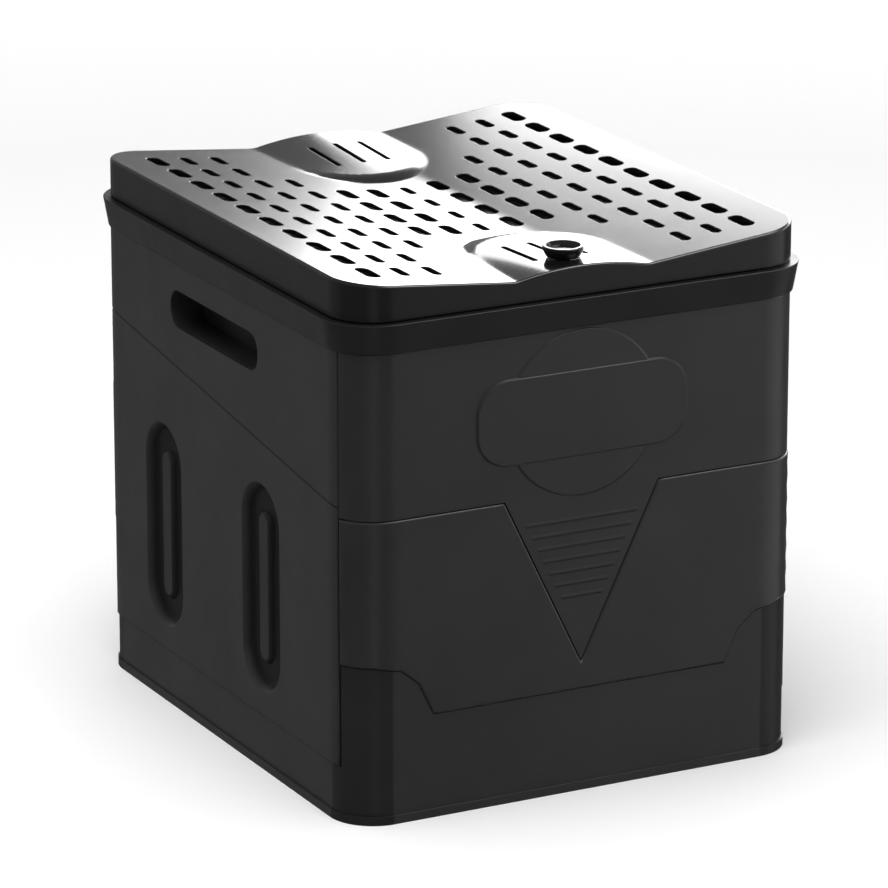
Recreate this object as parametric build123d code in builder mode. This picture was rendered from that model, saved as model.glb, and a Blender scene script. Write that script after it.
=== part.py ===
from build123d import *
import math
import os

# Portable camp toilet: a folding plastic box with a hinged seat and a perforated lid.
# Millimetres. +Z is up, -Y is the front with the raised emblem, the ends face -X and +X.
# The origin is the centre of the flat underside, in the plane that stands on the ground.

# ---------------------------------------------------------------- body shell
BODY_W = 286.0
BODY_D = 330.0
CORNER_R = 27.0
WALL = 3.0
GAP = 0.4
SEAM_Z = 287.0
UPPER_WALL_INSET = 0.6
TRAY_INSET = 1.2

# ---------------------------------------------------------------- height of each tier
FLOOR_THICK = 3.0
LIP_HEIGHT = 5.0
LIP_INSET = 0.2
TRAY_SIDE_TOP = 60.0
TRAY_CORNER_TOP = 91.0
TRAY_END_TOP = 32.0
# front edge of the tray, in X and Z, from the middle stretch up to the corner
TRAY_STEP = ((92.0, TRAY_SIDE_TOP), (101.0, 79.0), (112.0, 88.0), (128.0, TRAY_CORNER_TOP))
MID_HINGE_Z = 172.4
UPPER_WALL_TOP = 269.6
CORNER_RETURN_Y = 147.0
END_HALF_DEPTH = CORNER_RETURN_Y - GAP

# ---------------------------------------------------------------- rim and ledge of the top frame
RIM_BOTTOM = 270.0
RIM_SKIRT_LAP = 1.0
RIM_FLARE_LOW = 1.0
RIM_FLARE_TOP = 4.0
LEDGE_BOTTOM = 268.0
LEDGE_TOP = 272.0
LEDGE_OPENING_W = 236.0
LEDGE_OPENING_D = 256.0
LEDGE_OPENING_R = 20.5

# ---------------------------------------------------------------- slanted seam on each end
SLANT_MID_Z = 201.0
SLANT_SLOPE = 0.1333
SKIRT_STOCK_LOW = 100.0

# ---------------------------------------------------------------- emblem and tongue on front and back
EMBLEM_Z = 221.0
DISC_R = 48.0
DISC_HEIGHT = 0.8
PLATE_W = 132.0
PLATE_H = 50.0
PLATE_R = 20.0
PLATE_HEIGHT = 1.4
TONGUE_HALF_W = 48.0
TONGUE_TIP_Z = 77.0
TONGUE_ROOT = 12.0
RIB_TOP_Z = 160.0
RIB_PITCH = 7.4
RIB_COUNT = 7
RIB_HEIGHT = 0.8
RIB_WIDTH = 2.2
RIB_MARGIN = 5.0

# ---------------------------------------------------------------- end flap panels
OVAL_H = 124.0
OVAL_W = 49.0
OVAL_Z = 108.0
OVAL_DEPTH = 4.5
OVAL_RIDGE_H = 92.0
OVAL_RIDGE_W = 17.0
OVAL_RIDGE_RISE = 2.7
OVAL_OFFSETS = (-75.0, 53.0)
OVAL_BACKING = 7.0
FLAP_AXIS_X = 135.5
FLAP_AXIS_Z = 29.0
FLAP_BARREL_R = 3.0
FLAP_ROD_R = 1.5
FLAP_TRAY_KNUCKLE = (115.0, 130.0)
FLAP_OWN_KNUCKLE = (99.6, 114.6)
FLAP_ROD_SPAN = (98.6, 131.0)
FLAP_WEB_RISE = 6.0
FLAP_WEB_SINK = 1.0
TRAY_WEB_SINK = 0.5

# ---------------------------------------------------------------- handles
HANDLE_W = 113.0
HANDLE_H = 22.0
HANDLE_R = 10.0
HANDLE_Y = 5.5
HANDLE_Z = 243.0
CUP_DEPTH = 19.0
CUP_WALL = 2.0
CUP_FLANGE = 3.0

# ---------------------------------------------------------------- hinges that join the wall halves
WALL_AXIS_Y = 157.6
WALL_BARREL_R = 2.8
WALL_ROD_R = 1.2
KNUCKLE_WEB = 7.5
KNUCKLE_SINK = 0.2
TOP_HINGE_Z = 263.0
LOW_HINGE_Z = 60.2
OUTER_KNUCKLES = ((56.0, 66.0), (86.0, 96.0))
INNER_KNUCKLES = ((66.4, 85.6),)
WALL_ROD_SPAN = (55.5, 96.5)
ROD_CLEARANCE = 0.05

# ---------------------------------------------------------------- rear hinge shared by seat and lid
HINGE_Y = 175.0
HINGE_Z = 284.0
HINGE_BARREL_R = 5.0
HINGE_PIN_R = 2.5
FRAME_KNUCKLES = ((58.0, 68.0), (89.0, 99.0))
LID_KNUCKLE = (68.6, 77.4)
SEAT_KNUCKLE = (78.6, 87.4)
PIN_SPAN = (57.0, 100.0)
NOTCH_SPAN = (77.6, 88.4)

# ---------------------------------------------------------------- bag ring and seat
RING_COLLAR_BOTTOM = 250.0
RING_TOP = 274.5
RING_WALL = 2.0
RING_CLEARANCE = 0.5
RING_FLANGE = 8.5
SEAT_CLEARANCE = 1.5
SEAT_BOTTOM = 277.0
SEAT_TOP = 286.0
SEAT_OPENING_L = 236.0
SEAT_OPENING_W = 186.0
SEAT_EDGE_R = 3.0
SEAT_NOTCH_HALF_W = 24.0
SEAT_NOTCH_DEPTH = 32.0
SEAT_BUMPER_R = 4.0
SEAT_BUMPER_POS = (121.0, 100.0)
SEAT_BUMPER_GAP = 0.2
SEAT_WEB_Y = 150.0

# ---------------------------------------------------------------- lid
LID_INSET = 0.5
LID_BOTTOM = SEAM_Z + 0.5
LID_STOCK_TOP = SEAM_Z + 70.0
LID_SKIN = 2.5
LID_WEB_RISE = 12.0
LID_WEB_SHOULDER = 4.0
VALLEY_BASE = 8.7
VALLEY_SLOPE = 0.102
VALLEY_BLEND_HALF = 25.0
DOME_HALF_W = 44.0
DOME_TIP_Y = 66.0
DOME_EDGE_RISE = 17.6
DOME_TIP_RISE = 12.5
SLOT_PITCH_X = 19.4
SLOT_PITCH_Y = 29.8
DOME_SLOT_PITCH = 16.0
DOME_SLOT_Y = 120.0
DOME_SLOT_L = 40.0
DOME_SLOT_W = 3.0
# slot width, slot length and number of rows of each column, from the middle column outwards
SLOT_COLUMNS = (
    (4.5, 16.0, 4),
    (7.6, 21.0, 4),
    (7.6, 21.0, 4),
    (5.6, 18.5, 6),
    (5.6, 18.5, 10),
    (5.6, 18.5, 10),
    (8.2, 21.5, 10),
)
PANEL_BOTTOM = 288.5
PANEL_THICK = 2.5
PANEL_CLEARANCE = 0.5
BOSS_R = 4.0
BOSS_X = 131.0
BOSS_PITCH_Y = 120.0
SCREW_R = 1.45
SCREW_HEAD_R = 3.2
SCREW_HEAD_H = 1.9
SCREW_LENGTH = 9.0
LID_BUMPER_R = 5.0
LID_BUMPER_POS = (100.0, 145.0)
LID_BUMPER_GAP = 0.1

# ---------------------------------------------------------------- latch
KNOB_Y = -141.0
KNOB_R = 11.5
KNOB_BASE_Z = SEAM_Z + 17.1
KNOB_TOP_Z = SEAM_Z + 23.2
KNOB_NECK_R = 9.5
KNOB_DISH_R = 9.6
KNOB_DISH_DEPTH = 2.4
KNOB_DISH_FLOOR_R = 8.6
SPINDLE_R = 4.0
SPINDLE_SQUARE = 5.0
SPINDLE_BOSS_R = 7.0
CAM_BOTTOM = 275.6
CAM_TOP = 280.5
CAM_HUB_R = 7.0
CAM_REACH = 19.0
CAM_WIDTH = 10.0
LATCH_SCREW_HEAD_R = 4.0
LATCH_SCREW_HEAD_H = 1.6
LATCH_SCREW_LENGTH = 8.0
KEEPER_HALF_W = 14.0
KEEPER_REACH = 8.0
KEEPER_BOTTOM = 281.0
KEEPER_THICK = 4.0

# ---------------------------------------------------------------- pads under the tray
PAD_R = 9.0
PAD_THICK = 2.0
PAD_X = 110.0
PAD_Y = 132.0

BEYOND = 400.0
HALF_W = BODY_W / 2
HALF_D = BODY_D / 2


def finish(builder, label):
    """Name the finished piece and write its STEP file."""
    builder.part.label = label
    export_step(builder.part, f"parts/{label}.step")


def slab(inset, z_low, z_high, mode=Mode.ADD):
    """Rounded-rectangle block whose sides stand inset from the body's outline."""
    with BuildSketch(Plane.XY.offset(z_low)) as profile:
        RectangleRounded(BODY_W - 2 * inset, BODY_D - 2 * inset, CORNER_R - inset)
    extrude(profile.sketch, amount=z_high - z_low, mode=mode)


def band(inset, z_low, z_high):
    """Upright ring of wall between two heights."""
    with BuildSketch(Plane.XY.offset(z_low)) as profile:
        RectangleRounded(BODY_W - 2 * inset, BODY_D - 2 * inset, CORNER_R - inset)
        inner = inset + WALL
        RectangleRounded(BODY_W - 2 * inner, BODY_D - 2 * inner, CORNER_R - inner, mode=Mode.SUBTRACT)
    extrude(profile.sketch, amount=z_high - z_low)


def block(x_span, y_span, z_span, mode=Mode.ADD):
    """Box between two limits on each axis."""
    width = x_span[1] - x_span[0]
    depth = y_span[1] - y_span[0]
    middle = ((x_span[0] + x_span[1]) / 2, (y_span[0] + y_span[1]) / 2)
    with BuildSketch(Plane.XY.offset(z_span[0])) as profile:
        with Locations(middle):
            Rectangle(width, depth)
    extrude(profile.sketch, amount=z_span[1] - z_span[0], mode=mode)


def span(side, low, high):
    """The pair of limits on the given side of the middle, in rising order."""
    return (low, high) if side > 0 else (-high, -low)


def keep_side(side):
    """Keep only what lies beyond the corner returns on the front (-1) or the back (+1)."""
    block((-BEYOND, BEYOND), span(side, CORNER_RETURN_Y, BEYOND), (0, BEYOND), Mode.INTERSECT)


def tray_outline(lift):
    """Closed outline, in X and Z, of all that lies above the tray's front and back edge."""
    right = [(x, z + lift) for x, z in TRAY_STEP]
    left = [(-x, z) for x, z in reversed(right)]
    top = TRAY_CORNER_TOP + lift
    Polyline(*left, *right, (BEYOND, top), (BEYOND, BEYOND), (-BEYOND, BEYOND), (-BEYOND, top), close=True)


def above_tray(lift, mode):
    """Cut away, or keep only, what lies above the tray's edge."""
    with BuildSketch(Plane.XZ) as profile:
        with BuildLine():
            tray_outline(lift)
        make_face()
    extrude(profile.sketch, amount=BEYOND, both=True, mode=mode)


def tongue(side, grow, mode):
    """The pointed tongue that hangs from an upper wall, or its notch in the wall below."""
    half = TONGUE_HALF_W + grow
    top = MID_HINGE_Z + TONGUE_ROOT
    outer = HALF_D - UPPER_WALL_INSET if mode is Mode.ADD else HALF_D + WALL
    inner = HALF_D - UPPER_WALL_INSET - WALL if mode is Mode.ADD else HALF_D - 2 * WALL
    face = Plane.XZ.offset(-inner) if side > 0 else Plane.XZ.offset(inner)
    with BuildSketch(face) as profile:
        with BuildLine():
            Polyline((-half, top), (-half, MID_HINGE_Z), (0, TONGUE_TIP_Z - 2 * grow), (half, MID_HINGE_Z),
                     (half, top), close=True)
        make_face()
    extrude(profile.sketch, amount=-side * (outer - inner), mode=mode)


def outer_plane(side, y):
    """Plane standing at a distance y from the middle, whose normal points to -Y."""
    return Plane.XZ.offset(-side * y)


def relief(side, sketch, height):
    """Raise a sketch out of an upper wall's face."""
    extrude(sketch, amount=-side * height)


def emblem(side):
    """Raised disc with a higher rounded plate across it."""
    face = outer_plane(side, HALF_D - UPPER_WALL_INSET)
    with BuildSketch(face) as profile:
        with Locations((0, EMBLEM_Z)):
            Circle(DISC_R)
    relief(side, profile.sketch, DISC_HEIGHT)
    with BuildSketch(face) as profile:
        with Locations((0, EMBLEM_Z)):
            RectangleRounded(PLATE_W, PLATE_H, PLATE_R)
    relief(side, profile.sketch, PLATE_HEIGHT)


def tongue_ribs(side):
    """Grip ribs across the tongue, each as wide as the tongue is at its height."""
    for number in range(RIB_COUNT):
        z = RIB_TOP_Z - number * RIB_PITCH
        reach = TONGUE_HALF_W * (z - TONGUE_TIP_Z) / (MID_HINGE_Z - TONGUE_TIP_Z) - RIB_MARGIN
        with BuildSketch(outer_plane(side, HALF_D - UPPER_WALL_INSET)) as profile:
            with Locations((0, z)):
                Rectangle(2 * reach, RIB_WIDTH)
        relief(side, profile.sketch, RIB_HEIGHT)


def wall_knuckles(side, z_axis, up, spans, reach=HALF_D - WALL + KNUCKLE_SINK):
    """Barrels along X on the inside of a wall, with a web that rises (up=1) or drops (up=-1)."""
    inner = WALL_AXIS_Y - WALL_BARREL_R
    clear = WALL_AXIS_Y + WALL_BARREL_R
    for low, high in spans:
        for x_low, x_high in (span(1, low, high), span(-1, low, high)):
            with BuildSketch(Plane.YZ.offset(x_low)) as profile:
                with Locations((side * WALL_AXIS_Y, z_axis)):
                    Circle(WALL_BARREL_R)
                with Locations((side * WALL_AXIS_Y, z_axis + up * KNUCKLE_WEB / 2)):
                    Rectangle(clear - inner, KNUCKLE_WEB)
                root = KNUCKLE_WEB - 2 * GAP
                with Locations((side * (inner + reach) / 2, z_axis + up * (2 * GAP + root / 2))):
                    Rectangle(reach - inner, root)
                with Locations((side * WALL_AXIS_Y, z_axis)):
                    Circle(WALL_ROD_R + ROD_CLEARANCE, mode=Mode.SUBTRACT)
            extrude(profile.sketch, amount=x_high - x_low)


def slant_side(side, lift):
    """Outline, in Y and Z, of all that lies above the slanted seam of one end."""
    rise = -side * SLANT_SLOPE * BEYOND
    Polyline((-BEYOND, SLANT_MID_Z + lift - rise), (BEYOND, SLANT_MID_Z + lift + rise),
             (BEYOND, 2 * BEYOND), (-BEYOND, 2 * BEYOND), close=True)


def end_strip(side, z_low, z_high, lift, mode):
    """The end face's strip of wall, cut above (SUBTRACT) or below (INTERSECT) the slanted seam."""
    band(0, z_low, z_high)
    block(span(side, HALF_W / 2, BEYOND), (-END_HALF_DEPTH, END_HALF_DEPTH), (0, BEYOND), Mode.INTERSECT)
    with BuildSketch(Plane.YZ) as profile:
        with BuildLine():
            slant_side(side, lift)
        make_face()
    extrude(profile.sketch, amount=BEYOND, both=True, mode=mode)


def end_pocket(side, x_low, x_high, place, size, mode):
    """Upright racetrack on an end face, between two distances from the middle."""
    low, high = span(side, x_low, x_high)
    with BuildSketch(Plane.YZ.offset(low)) as profile:
        with Locations(place):
            SlotOverall(*size, rotation=90)
    extrude(profile.sketch, amount=high - low, mode=mode)


def handle_block(side, x_low, x_high, grow, mode):
    """Rounded block in the shape of the hand hole, between two distances from the middle."""
    low, high = span(side, x_low, x_high)
    with BuildSketch(Plane.YZ.offset(low)) as profile:
        with Locations((-side * HANDLE_Y, HANDLE_Z)):
            RectangleRounded(HANDLE_W + 2 * grow, HANDLE_H + 2 * grow, HANDLE_R + grow)
    extrude(profile.sketch, amount=high - low, mode=mode)


def flap_barrels(side, spans, web):
    """Barrels along Y at the foot of an end, with a web given as an outline in X and Z."""
    for low, high in spans:
        for y_low, y_high in (span(1, low, high), span(-1, low, high)):
            with BuildSketch(Plane.XZ.offset(-y_high)) as profile:
                with Locations((side * FLAP_AXIS_X, FLAP_AXIS_Z)):
                    Circle(FLAP_BARREL_R)
                with BuildLine():
                    Polyline(*[(side * x, z) for x, z in web], close=True)
                make_face()
                with Locations((side * FLAP_AXIS_X, FLAP_AXIS_Z)):
                    Circle(FLAP_ROD_R + ROD_CLEARANCE, mode=Mode.SUBTRACT)
            extrude(profile.sketch, amount=y_high - y_low)


def rods_along_x(radius, y, z, x_span):
    """One rod on each side of the middle."""
    for low, high in (span(1, *x_span), span(-1, *x_span)):
        with BuildSketch(Plane.YZ.offset(low)) as profile:
            with Locations((y, z)):
                Circle(radius)
        extrude(profile.sketch, amount=high - low)


def rear_knuckle(x_span, web):
    """Hinge barrel on each side of the middle, joined to its piece by a web in Y and Z."""
    for low, high in (span(1, *x_span), span(-1, *x_span)):
        with BuildSketch(Plane.YZ.offset(low)) as profile:
            with BuildLine():
                Polyline(*web, close=True)
            make_face()
            with Locations((HINGE_Y, HINGE_Z)):
                Circle(HINGE_BARREL_R)
                Circle(HINGE_PIN_R + ROD_CLEARANCE, mode=Mode.SUBTRACT)
        extrude(profile.sketch, amount=high - low)


def valley_height(x):
    """Height of the lid's top above the seam, across the lid, before the middle is blended."""
    return VALLEY_BASE + VALLEY_SLOPE * abs(x)


def lid_top_profile(drop):
    """Outline, in X and Z, of all that lies under the lid's top, lowered by drop."""
    low = SEAM_Z - drop
    reach = HALF_W + WALL
    edge = low + valley_height(reach)
    blend = low + valley_height(VALLEY_BLEND_HALF)
    bottom = low + VALLEY_BASE + VALLEY_SLOPE * VALLEY_BLEND_HALF / 2
    Polyline((-VALLEY_BLEND_HALF, blend), (-reach, edge), (-reach, 0), (reach, 0), (reach, edge),
             (VALLEY_BLEND_HALF, blend))
    ThreePointArc((VALLEY_BLEND_HALF, blend), (0, bottom), (-VALLEY_BLEND_HALF, blend))


def under_lid_top(drop, mode):
    """Keep only what lies under the lid's valley-shaped top."""
    with BuildSketch(Plane.XZ) as profile:
        with BuildLine():
            lid_top_profile(drop)
        make_face()
    extrude(profile.sketch, amount=BEYOND, both=True, mode=mode)


def dome_section(side, y, rise, foot):
    """Arched section across a dome, standing at a distance y from the middle."""
    with BuildSketch(outer_plane(side, y)) as section:
        with BuildLine():
            edge = SEAM_Z + valley_height(DOME_HALF_W) - LID_SKIN / 2
            Polyline((DOME_HALF_W, edge), (DOME_HALF_W, foot), (-DOME_HALF_W, foot), (-DOME_HALF_W, edge))
            ThreePointArc((-DOME_HALF_W, edge), (0, SEAM_Z + rise), (DOME_HALF_W, edge))
        make_face()
    return section.sketch


def dome(side, drop, foot, mode):
    """Tongue-shaped dome that rises from the valley towards the front or back edge."""
    near = DOME_TIP_Y + drop
    far = HALF_D - LID_INSET - drop
    with BuildPart(mode=Mode.PRIVATE) as shape:
        low = dome_section(side, near, DOME_TIP_RISE - drop, foot)
        high = dome_section(side, far, DOME_EDGE_RISE - drop, foot)
        loft(sections=[low, high])
        with BuildSketch(Plane.XY) as profile:
            half = DOME_HALF_W - drop
            with Locations((0, side * (near + half))):
                Circle(half)
            with Locations((0, side * (near + half + far) / 2)):
                Rectangle(2 * half, far - near - half)
        extrude(profile.sketch, amount=BEYOND, mode=Mode.INTERSECT)
    add(shape.part, mode=mode)


def lid_slots():
    """Grid of rounded slots, whose columns differ in size and in number of rows."""
    with BuildSketch(Plane.XY.offset(SEAM_Z)) as profile:
        for column, (width, length, rows) in enumerate(SLOT_COLUMNS):
            for side in (-1, 1) if column else (1,):
                with Locations((side * column * SLOT_PITCH_X, 0)):
                    with GridLocations(0, SLOT_PITCH_Y, 1, rows):
                        SlotOverall(length, width, rotation=90)
        for side in (-1, 1):
            with Locations((0, side * DOME_SLOT_Y)):
                with GridLocations(DOME_SLOT_PITCH, 0, 3, 1):
                    SlotOverall(DOME_SLOT_L, DOME_SLOT_W, rotation=90)
    extrude(profile.sketch, amount=BODY_W, mode=Mode.SUBTRACT)


os.makedirs("parts", exist_ok=True)

# ================================================================ base tray
with BuildPart() as base_tray:
    band(TRAY_INSET, 0, TRAY_CORNER_TOP)
    above_tray(0, Mode.SUBTRACT)
    block((-BEYOND, BEYOND), (-CORNER_RETURN_Y, CORNER_RETURN_Y), (TRAY_END_TOP, BEYOND), Mode.SUBTRACT)
    slab(TRAY_INSET, 0, FLOOR_THICK)
    with BuildSketch(Plane.XY):
        RectangleRounded(BODY_W - 2 * LIP_INSET, BODY_D - 2 * LIP_INSET, CORNER_R - LIP_INSET)
        lip_inner = TRAY_INSET + WALL
        RectangleRounded(BODY_W - 2 * lip_inner, BODY_D - 2 * lip_inner, CORNER_R - lip_inner,
                         mode=Mode.SUBTRACT)
    extrude(amount=LIP_HEIGHT)
    tray_reach = HALF_D - TRAY_INSET - WALL / 2
    for front_or_back in (-1, 1):
        wall_knuckles(front_or_back, LOW_HINGE_Z, -1, OUTER_KNUCKLES, tray_reach)
    tray_inner_x = HALF_W - TRAY_INSET - WALL
    tray_web = (
        (tray_inner_x + TRAY_WEB_SINK, FLAP_AXIS_Z - FLAP_BARREL_R),
        (FLAP_AXIS_X, FLAP_AXIS_Z - FLAP_BARREL_R),
        (FLAP_AXIS_X, TRAY_END_TOP),
        (tray_inner_x + TRAY_WEB_SINK, TRAY_END_TOP),
    )
    for end in (-1, 1):
        flap_barrels(end, (FLAP_TRAY_KNUCKLE,), tray_web)
    with BuildSketch(Plane.XY):
        with GridLocations(2 * PAD_X, 2 * PAD_Y, 2, 2):
            Circle(PAD_R)
    extrude(amount=PAD_THICK, mode=Mode.SUBTRACT)
finish(base_tray, "base_tray")

# ================================================================ anti-slip pads
with BuildPart() as anti_slip_pads:
    with BuildSketch(Plane.XY):
        with GridLocations(2 * PAD_X, 2 * PAD_Y, 2, 2):
            Circle(PAD_R - ROD_CLEARANCE)
    extrude(amount=PAD_THICK)
finish(anti_slip_pads, "anti_slip_pads")

# ================================================================ front and back walls, in two halves each
for wall_side, wall_name in ((-1, "front"), (1, "back")):
    with BuildPart() as lower_wall:
        band(0, TRAY_SIDE_TOP, MID_HINGE_Z - GAP / 2)
        keep_side(wall_side)
        above_tray(GAP, Mode.INTERSECT)
        tongue(wall_side, GAP, Mode.SUBTRACT)
        wall_knuckles(wall_side, LOW_HINGE_Z, 1, INNER_KNUCKLES)
        wall_knuckles(wall_side, MID_HINGE_Z, -1, OUTER_KNUCKLES)
    finish(lower_wall, f"{wall_name}_lower_wall")

    with BuildPart() as upper_wall:
        band(UPPER_WALL_INSET, MID_HINGE_Z + GAP / 2, UPPER_WALL_TOP)
        keep_side(wall_side)
        tongue(wall_side, 0, Mode.ADD)
        emblem(wall_side)
        tongue_ribs(wall_side)
        wall_knuckles(wall_side, MID_HINGE_Z, 1, INNER_KNUCKLES)
        wall_knuckles(wall_side, TOP_HINGE_Z, -1, OUTER_KNUCKLES)
    finish(upper_wall, f"{wall_name}_upper_wall")

    with BuildPart() as wall_rods:
        for hinge_z in (LOW_HINGE_Z, MID_HINGE_Z, TOP_HINGE_Z):
            rods_along_x(WALL_ROD_R, wall_side * WALL_AXIS_Y, hinge_z, WALL_ROD_SPAN)
    finish(wall_rods, f"{wall_name}_wall_rods")

# ================================================================ end flaps, handle cups and flap rods
flap_foot = TRAY_END_TOP + GAP
flap_inner_x = HALF_W - WALL
flap_web = (
    (FLAP_AXIS_X - FLAP_BARREL_R, FLAP_AXIS_Z),
    (FLAP_AXIS_X - FLAP_BARREL_R, flap_foot + FLAP_WEB_RISE),
    (flap_inner_x + FLAP_WEB_SINK, flap_foot + FLAP_WEB_RISE),
    (flap_inner_x + FLAP_WEB_SINK, flap_foot + GAP),
    (FLAP_AXIS_X + WALL, flap_foot + GAP),
    (FLAP_AXIS_X + WALL, FLAP_AXIS_Z),
)
for end, end_name in ((-1, "left"), (1, "right")):
    with BuildPart() as end_flap:
        end_strip(end, flap_foot, SEAM_Z, -GAP / 2, Mode.SUBTRACT)
        for offset in OVAL_OFFSETS:
            oval_y = end * offset
            backing_x = HALF_W - OVAL_BACKING
            floor_x = HALF_W - OVAL_DEPTH
            ridge_x = floor_x + OVAL_RIDGE_RISE
            place = (oval_y, OVAL_Z)
            backing = (OVAL_H + 2 * WALL, OVAL_W + 2 * WALL)
            end_pocket(end, backing_x, HALF_W - WALL / 2, place, backing, Mode.ADD)
            end_pocket(end, floor_x, BEYOND, place, (OVAL_H, OVAL_W), Mode.SUBTRACT)
            end_pocket(end, floor_x - GAP, ridge_x, place, (OVAL_RIDGE_H, OVAL_RIDGE_W), Mode.ADD)
        flap_barrels(end, (FLAP_OWN_KNUCKLE,), flap_web)
    finish(end_flap, f"{end_name}_end_flap")

    with BuildPart() as handle_cup:
        cup_back = HALF_W - WALL - CUP_DEPTH
        handle_block(end, cup_back, HALF_W - WALL, CUP_WALL, Mode.ADD)
        handle_block(end, HALF_W - WALL - CUP_WALL, HALF_W - WALL, CUP_WALL + CUP_FLANGE, Mode.ADD)
        handle_block(end, cup_back + CUP_WALL, BEYOND, 0, Mode.SUBTRACT)
    finish(handle_cup, f"{end_name}_handle_cup")

    with BuildPart() as flap_rods:
        for rod_low, rod_high in (span(1, *FLAP_ROD_SPAN), span(-1, *FLAP_ROD_SPAN)):
            with BuildSketch(Plane.XZ.offset(-rod_high)):
                with Locations((end * FLAP_AXIS_X, FLAP_AXIS_Z)):
                    Circle(FLAP_ROD_R)
            extrude(amount=rod_high - rod_low)
    finish(flap_rods, f"{end_name}_flap_rods")

# ================================================================ top frame
with BuildPart() as upper_frame:
    for end in (-1, 1):
        with BuildPart(mode=Mode.PRIVATE) as end_skirt:
            end_strip(end, SKIRT_STOCK_LOW, RIM_BOTTOM + RIM_SKIRT_LAP, GAP / 2, Mode.INTERSECT)
            handle_block(end, HALF_W / 2, BEYOND, 0, Mode.SUBTRACT)
        add(end_skirt.part)
    with BuildSketch(Plane.XY.offset(RIM_BOTTOM)):
        RectangleRounded(BODY_W + 2 * RIM_FLARE_LOW, BODY_D + 2 * RIM_FLARE_LOW, CORNER_R + RIM_FLARE_LOW)
    rim_taper = -math.degrees(math.atan2(RIM_FLARE_TOP - RIM_FLARE_LOW, SEAM_Z - RIM_BOTTOM))
    extrude(amount=SEAM_Z - RIM_BOTTOM, taper=rim_taper)
    slab(WALL + UPPER_WALL_INSET + GAP, LEDGE_BOTTOM, LEDGE_TOP)
    slab(WALL, LEDGE_TOP, BEYOND, Mode.SUBTRACT)
    with BuildSketch(Plane.XY.offset(LEDGE_BOTTOM)):
        RectangleRounded(LEDGE_OPENING_W, LEDGE_OPENING_D, LEDGE_OPENING_R)
    extrude(amount=LEDGE_TOP - LEDGE_BOTTOM, mode=Mode.SUBTRACT)
    for front_or_back in (-1, 1):
        wall_knuckles(front_or_back, TOP_HINGE_Z, 1, INNER_KNUCKLES, WALL_AXIS_Y + WALL_BARREL_R)
    block((-KEEPER_HALF_W, KEEPER_HALF_W), (-HALF_D, -HALF_D + WALL + KEEPER_REACH),
          (KEEPER_BOTTOM, KEEPER_BOTTOM + KEEPER_THICK))
    rim_face = HALF_D + RIM_FLARE_LOW
    frame_web = (
        (rim_face, HINGE_Z - HINGE_BARREL_R),
        (HINGE_Y, HINGE_Z - HINGE_BARREL_R),
        (HINGE_Y, SEAM_Z),
        (rim_face, SEAM_Z),
    )
    for knuckle_span in FRAME_KNUCKLES:
        rear_knuckle(knuckle_span, frame_web)
    for notch in (span(1, *NOTCH_SPAN), span(-1, *NOTCH_SPAN)):
        block(notch, (HALF_D - 2 * WALL, HALF_D + WALL + RIM_FLARE_TOP), (SEAT_BOTTOM, BEYOND), Mode.SUBTRACT)
finish(upper_frame, "upper_frame")

# ================================================================ bag ring
with BuildPart() as bag_ring:
    ring_w = LEDGE_OPENING_W - 2 * RING_CLEARANCE
    ring_d = LEDGE_OPENING_D - 2 * RING_CLEARANCE
    ring_r = LEDGE_OPENING_R - RING_CLEARANCE
    with BuildSketch(Plane.XY.offset(RING_COLLAR_BOTTOM)):
        RectangleRounded(ring_w, ring_d, ring_r)
    extrude(amount=RING_TOP - RING_COLLAR_BOTTOM)
    with BuildSketch(Plane.XY.offset(LEDGE_TOP)):
        RectangleRounded(ring_w + 2 * RING_FLANGE, ring_d + 2 * RING_FLANGE, ring_r + RING_FLANGE)
    extrude(amount=RING_TOP - LEDGE_TOP)
    with BuildSketch(Plane.XY.offset(RING_COLLAR_BOTTOM)):
        RectangleRounded(ring_w - 2 * RING_WALL, ring_d - 2 * RING_WALL, ring_r - RING_WALL)
    extrude(amount=RING_TOP - RING_COLLAR_BOTTOM, mode=Mode.SUBTRACT)
finish(bag_ring, "bag_ring")

# ================================================================ rear hinge pins
with BuildPart() as lid_hinge_pins:
    rods_along_x(HINGE_PIN_R, HINGE_Y, HINGE_Z, PIN_SPAN)
finish(lid_hinge_pins, "lid_hinge_pins")

# ================================================================ seat ring, in four quarters
with BuildPart() as seat_ring:
    slab(WALL + SEAT_CLEARANCE, SEAT_BOTTOM, SEAT_TOP)
    with BuildSketch(Plane.XY.offset(SEAT_BOTTOM)):
        SlotOverall(SEAT_OPENING_L, SEAT_OPENING_W, rotation=90)
    extrude(amount=SEAT_TOP - SEAT_BOTTOM, mode=Mode.SUBTRACT)
    fillet(seat_ring.faces().sort_by(Axis.Z)[-1].edges(), SEAT_EDGE_R)
    block((-SEAT_NOTCH_HALF_W, SEAT_NOTCH_HALF_W), (-HALF_D, -HALF_D + SEAT_NOTCH_DEPTH), (0, BEYOND),
          Mode.SUBTRACT)
    seat_web = (
        (SEAT_WEB_Y, HINGE_Z - HINGE_BARREL_R),
        (HINGE_Y, HINGE_Z - HINGE_BARREL_R),
        (HINGE_Y, SEAT_TOP - GAP),
        (SEAT_WEB_Y, SEAT_TOP - GAP),
    )
    rear_knuckle(SEAT_KNUCKLE, seat_web)

for seat_end, seat_end_name in ((-1, "left"), (1, "right")):
    for seat_side, seat_side_name in ((-1, "front"), (1, "back")):
        with BuildPart() as seat_quarter:
            add(seat_ring.part)
            block(span(seat_end, 0, BEYOND), span(seat_side, 0, BEYOND), (0, BEYOND), Mode.INTERSECT)
        finish(seat_quarter, f"seat_{seat_side_name}_{seat_end_name}")

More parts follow.
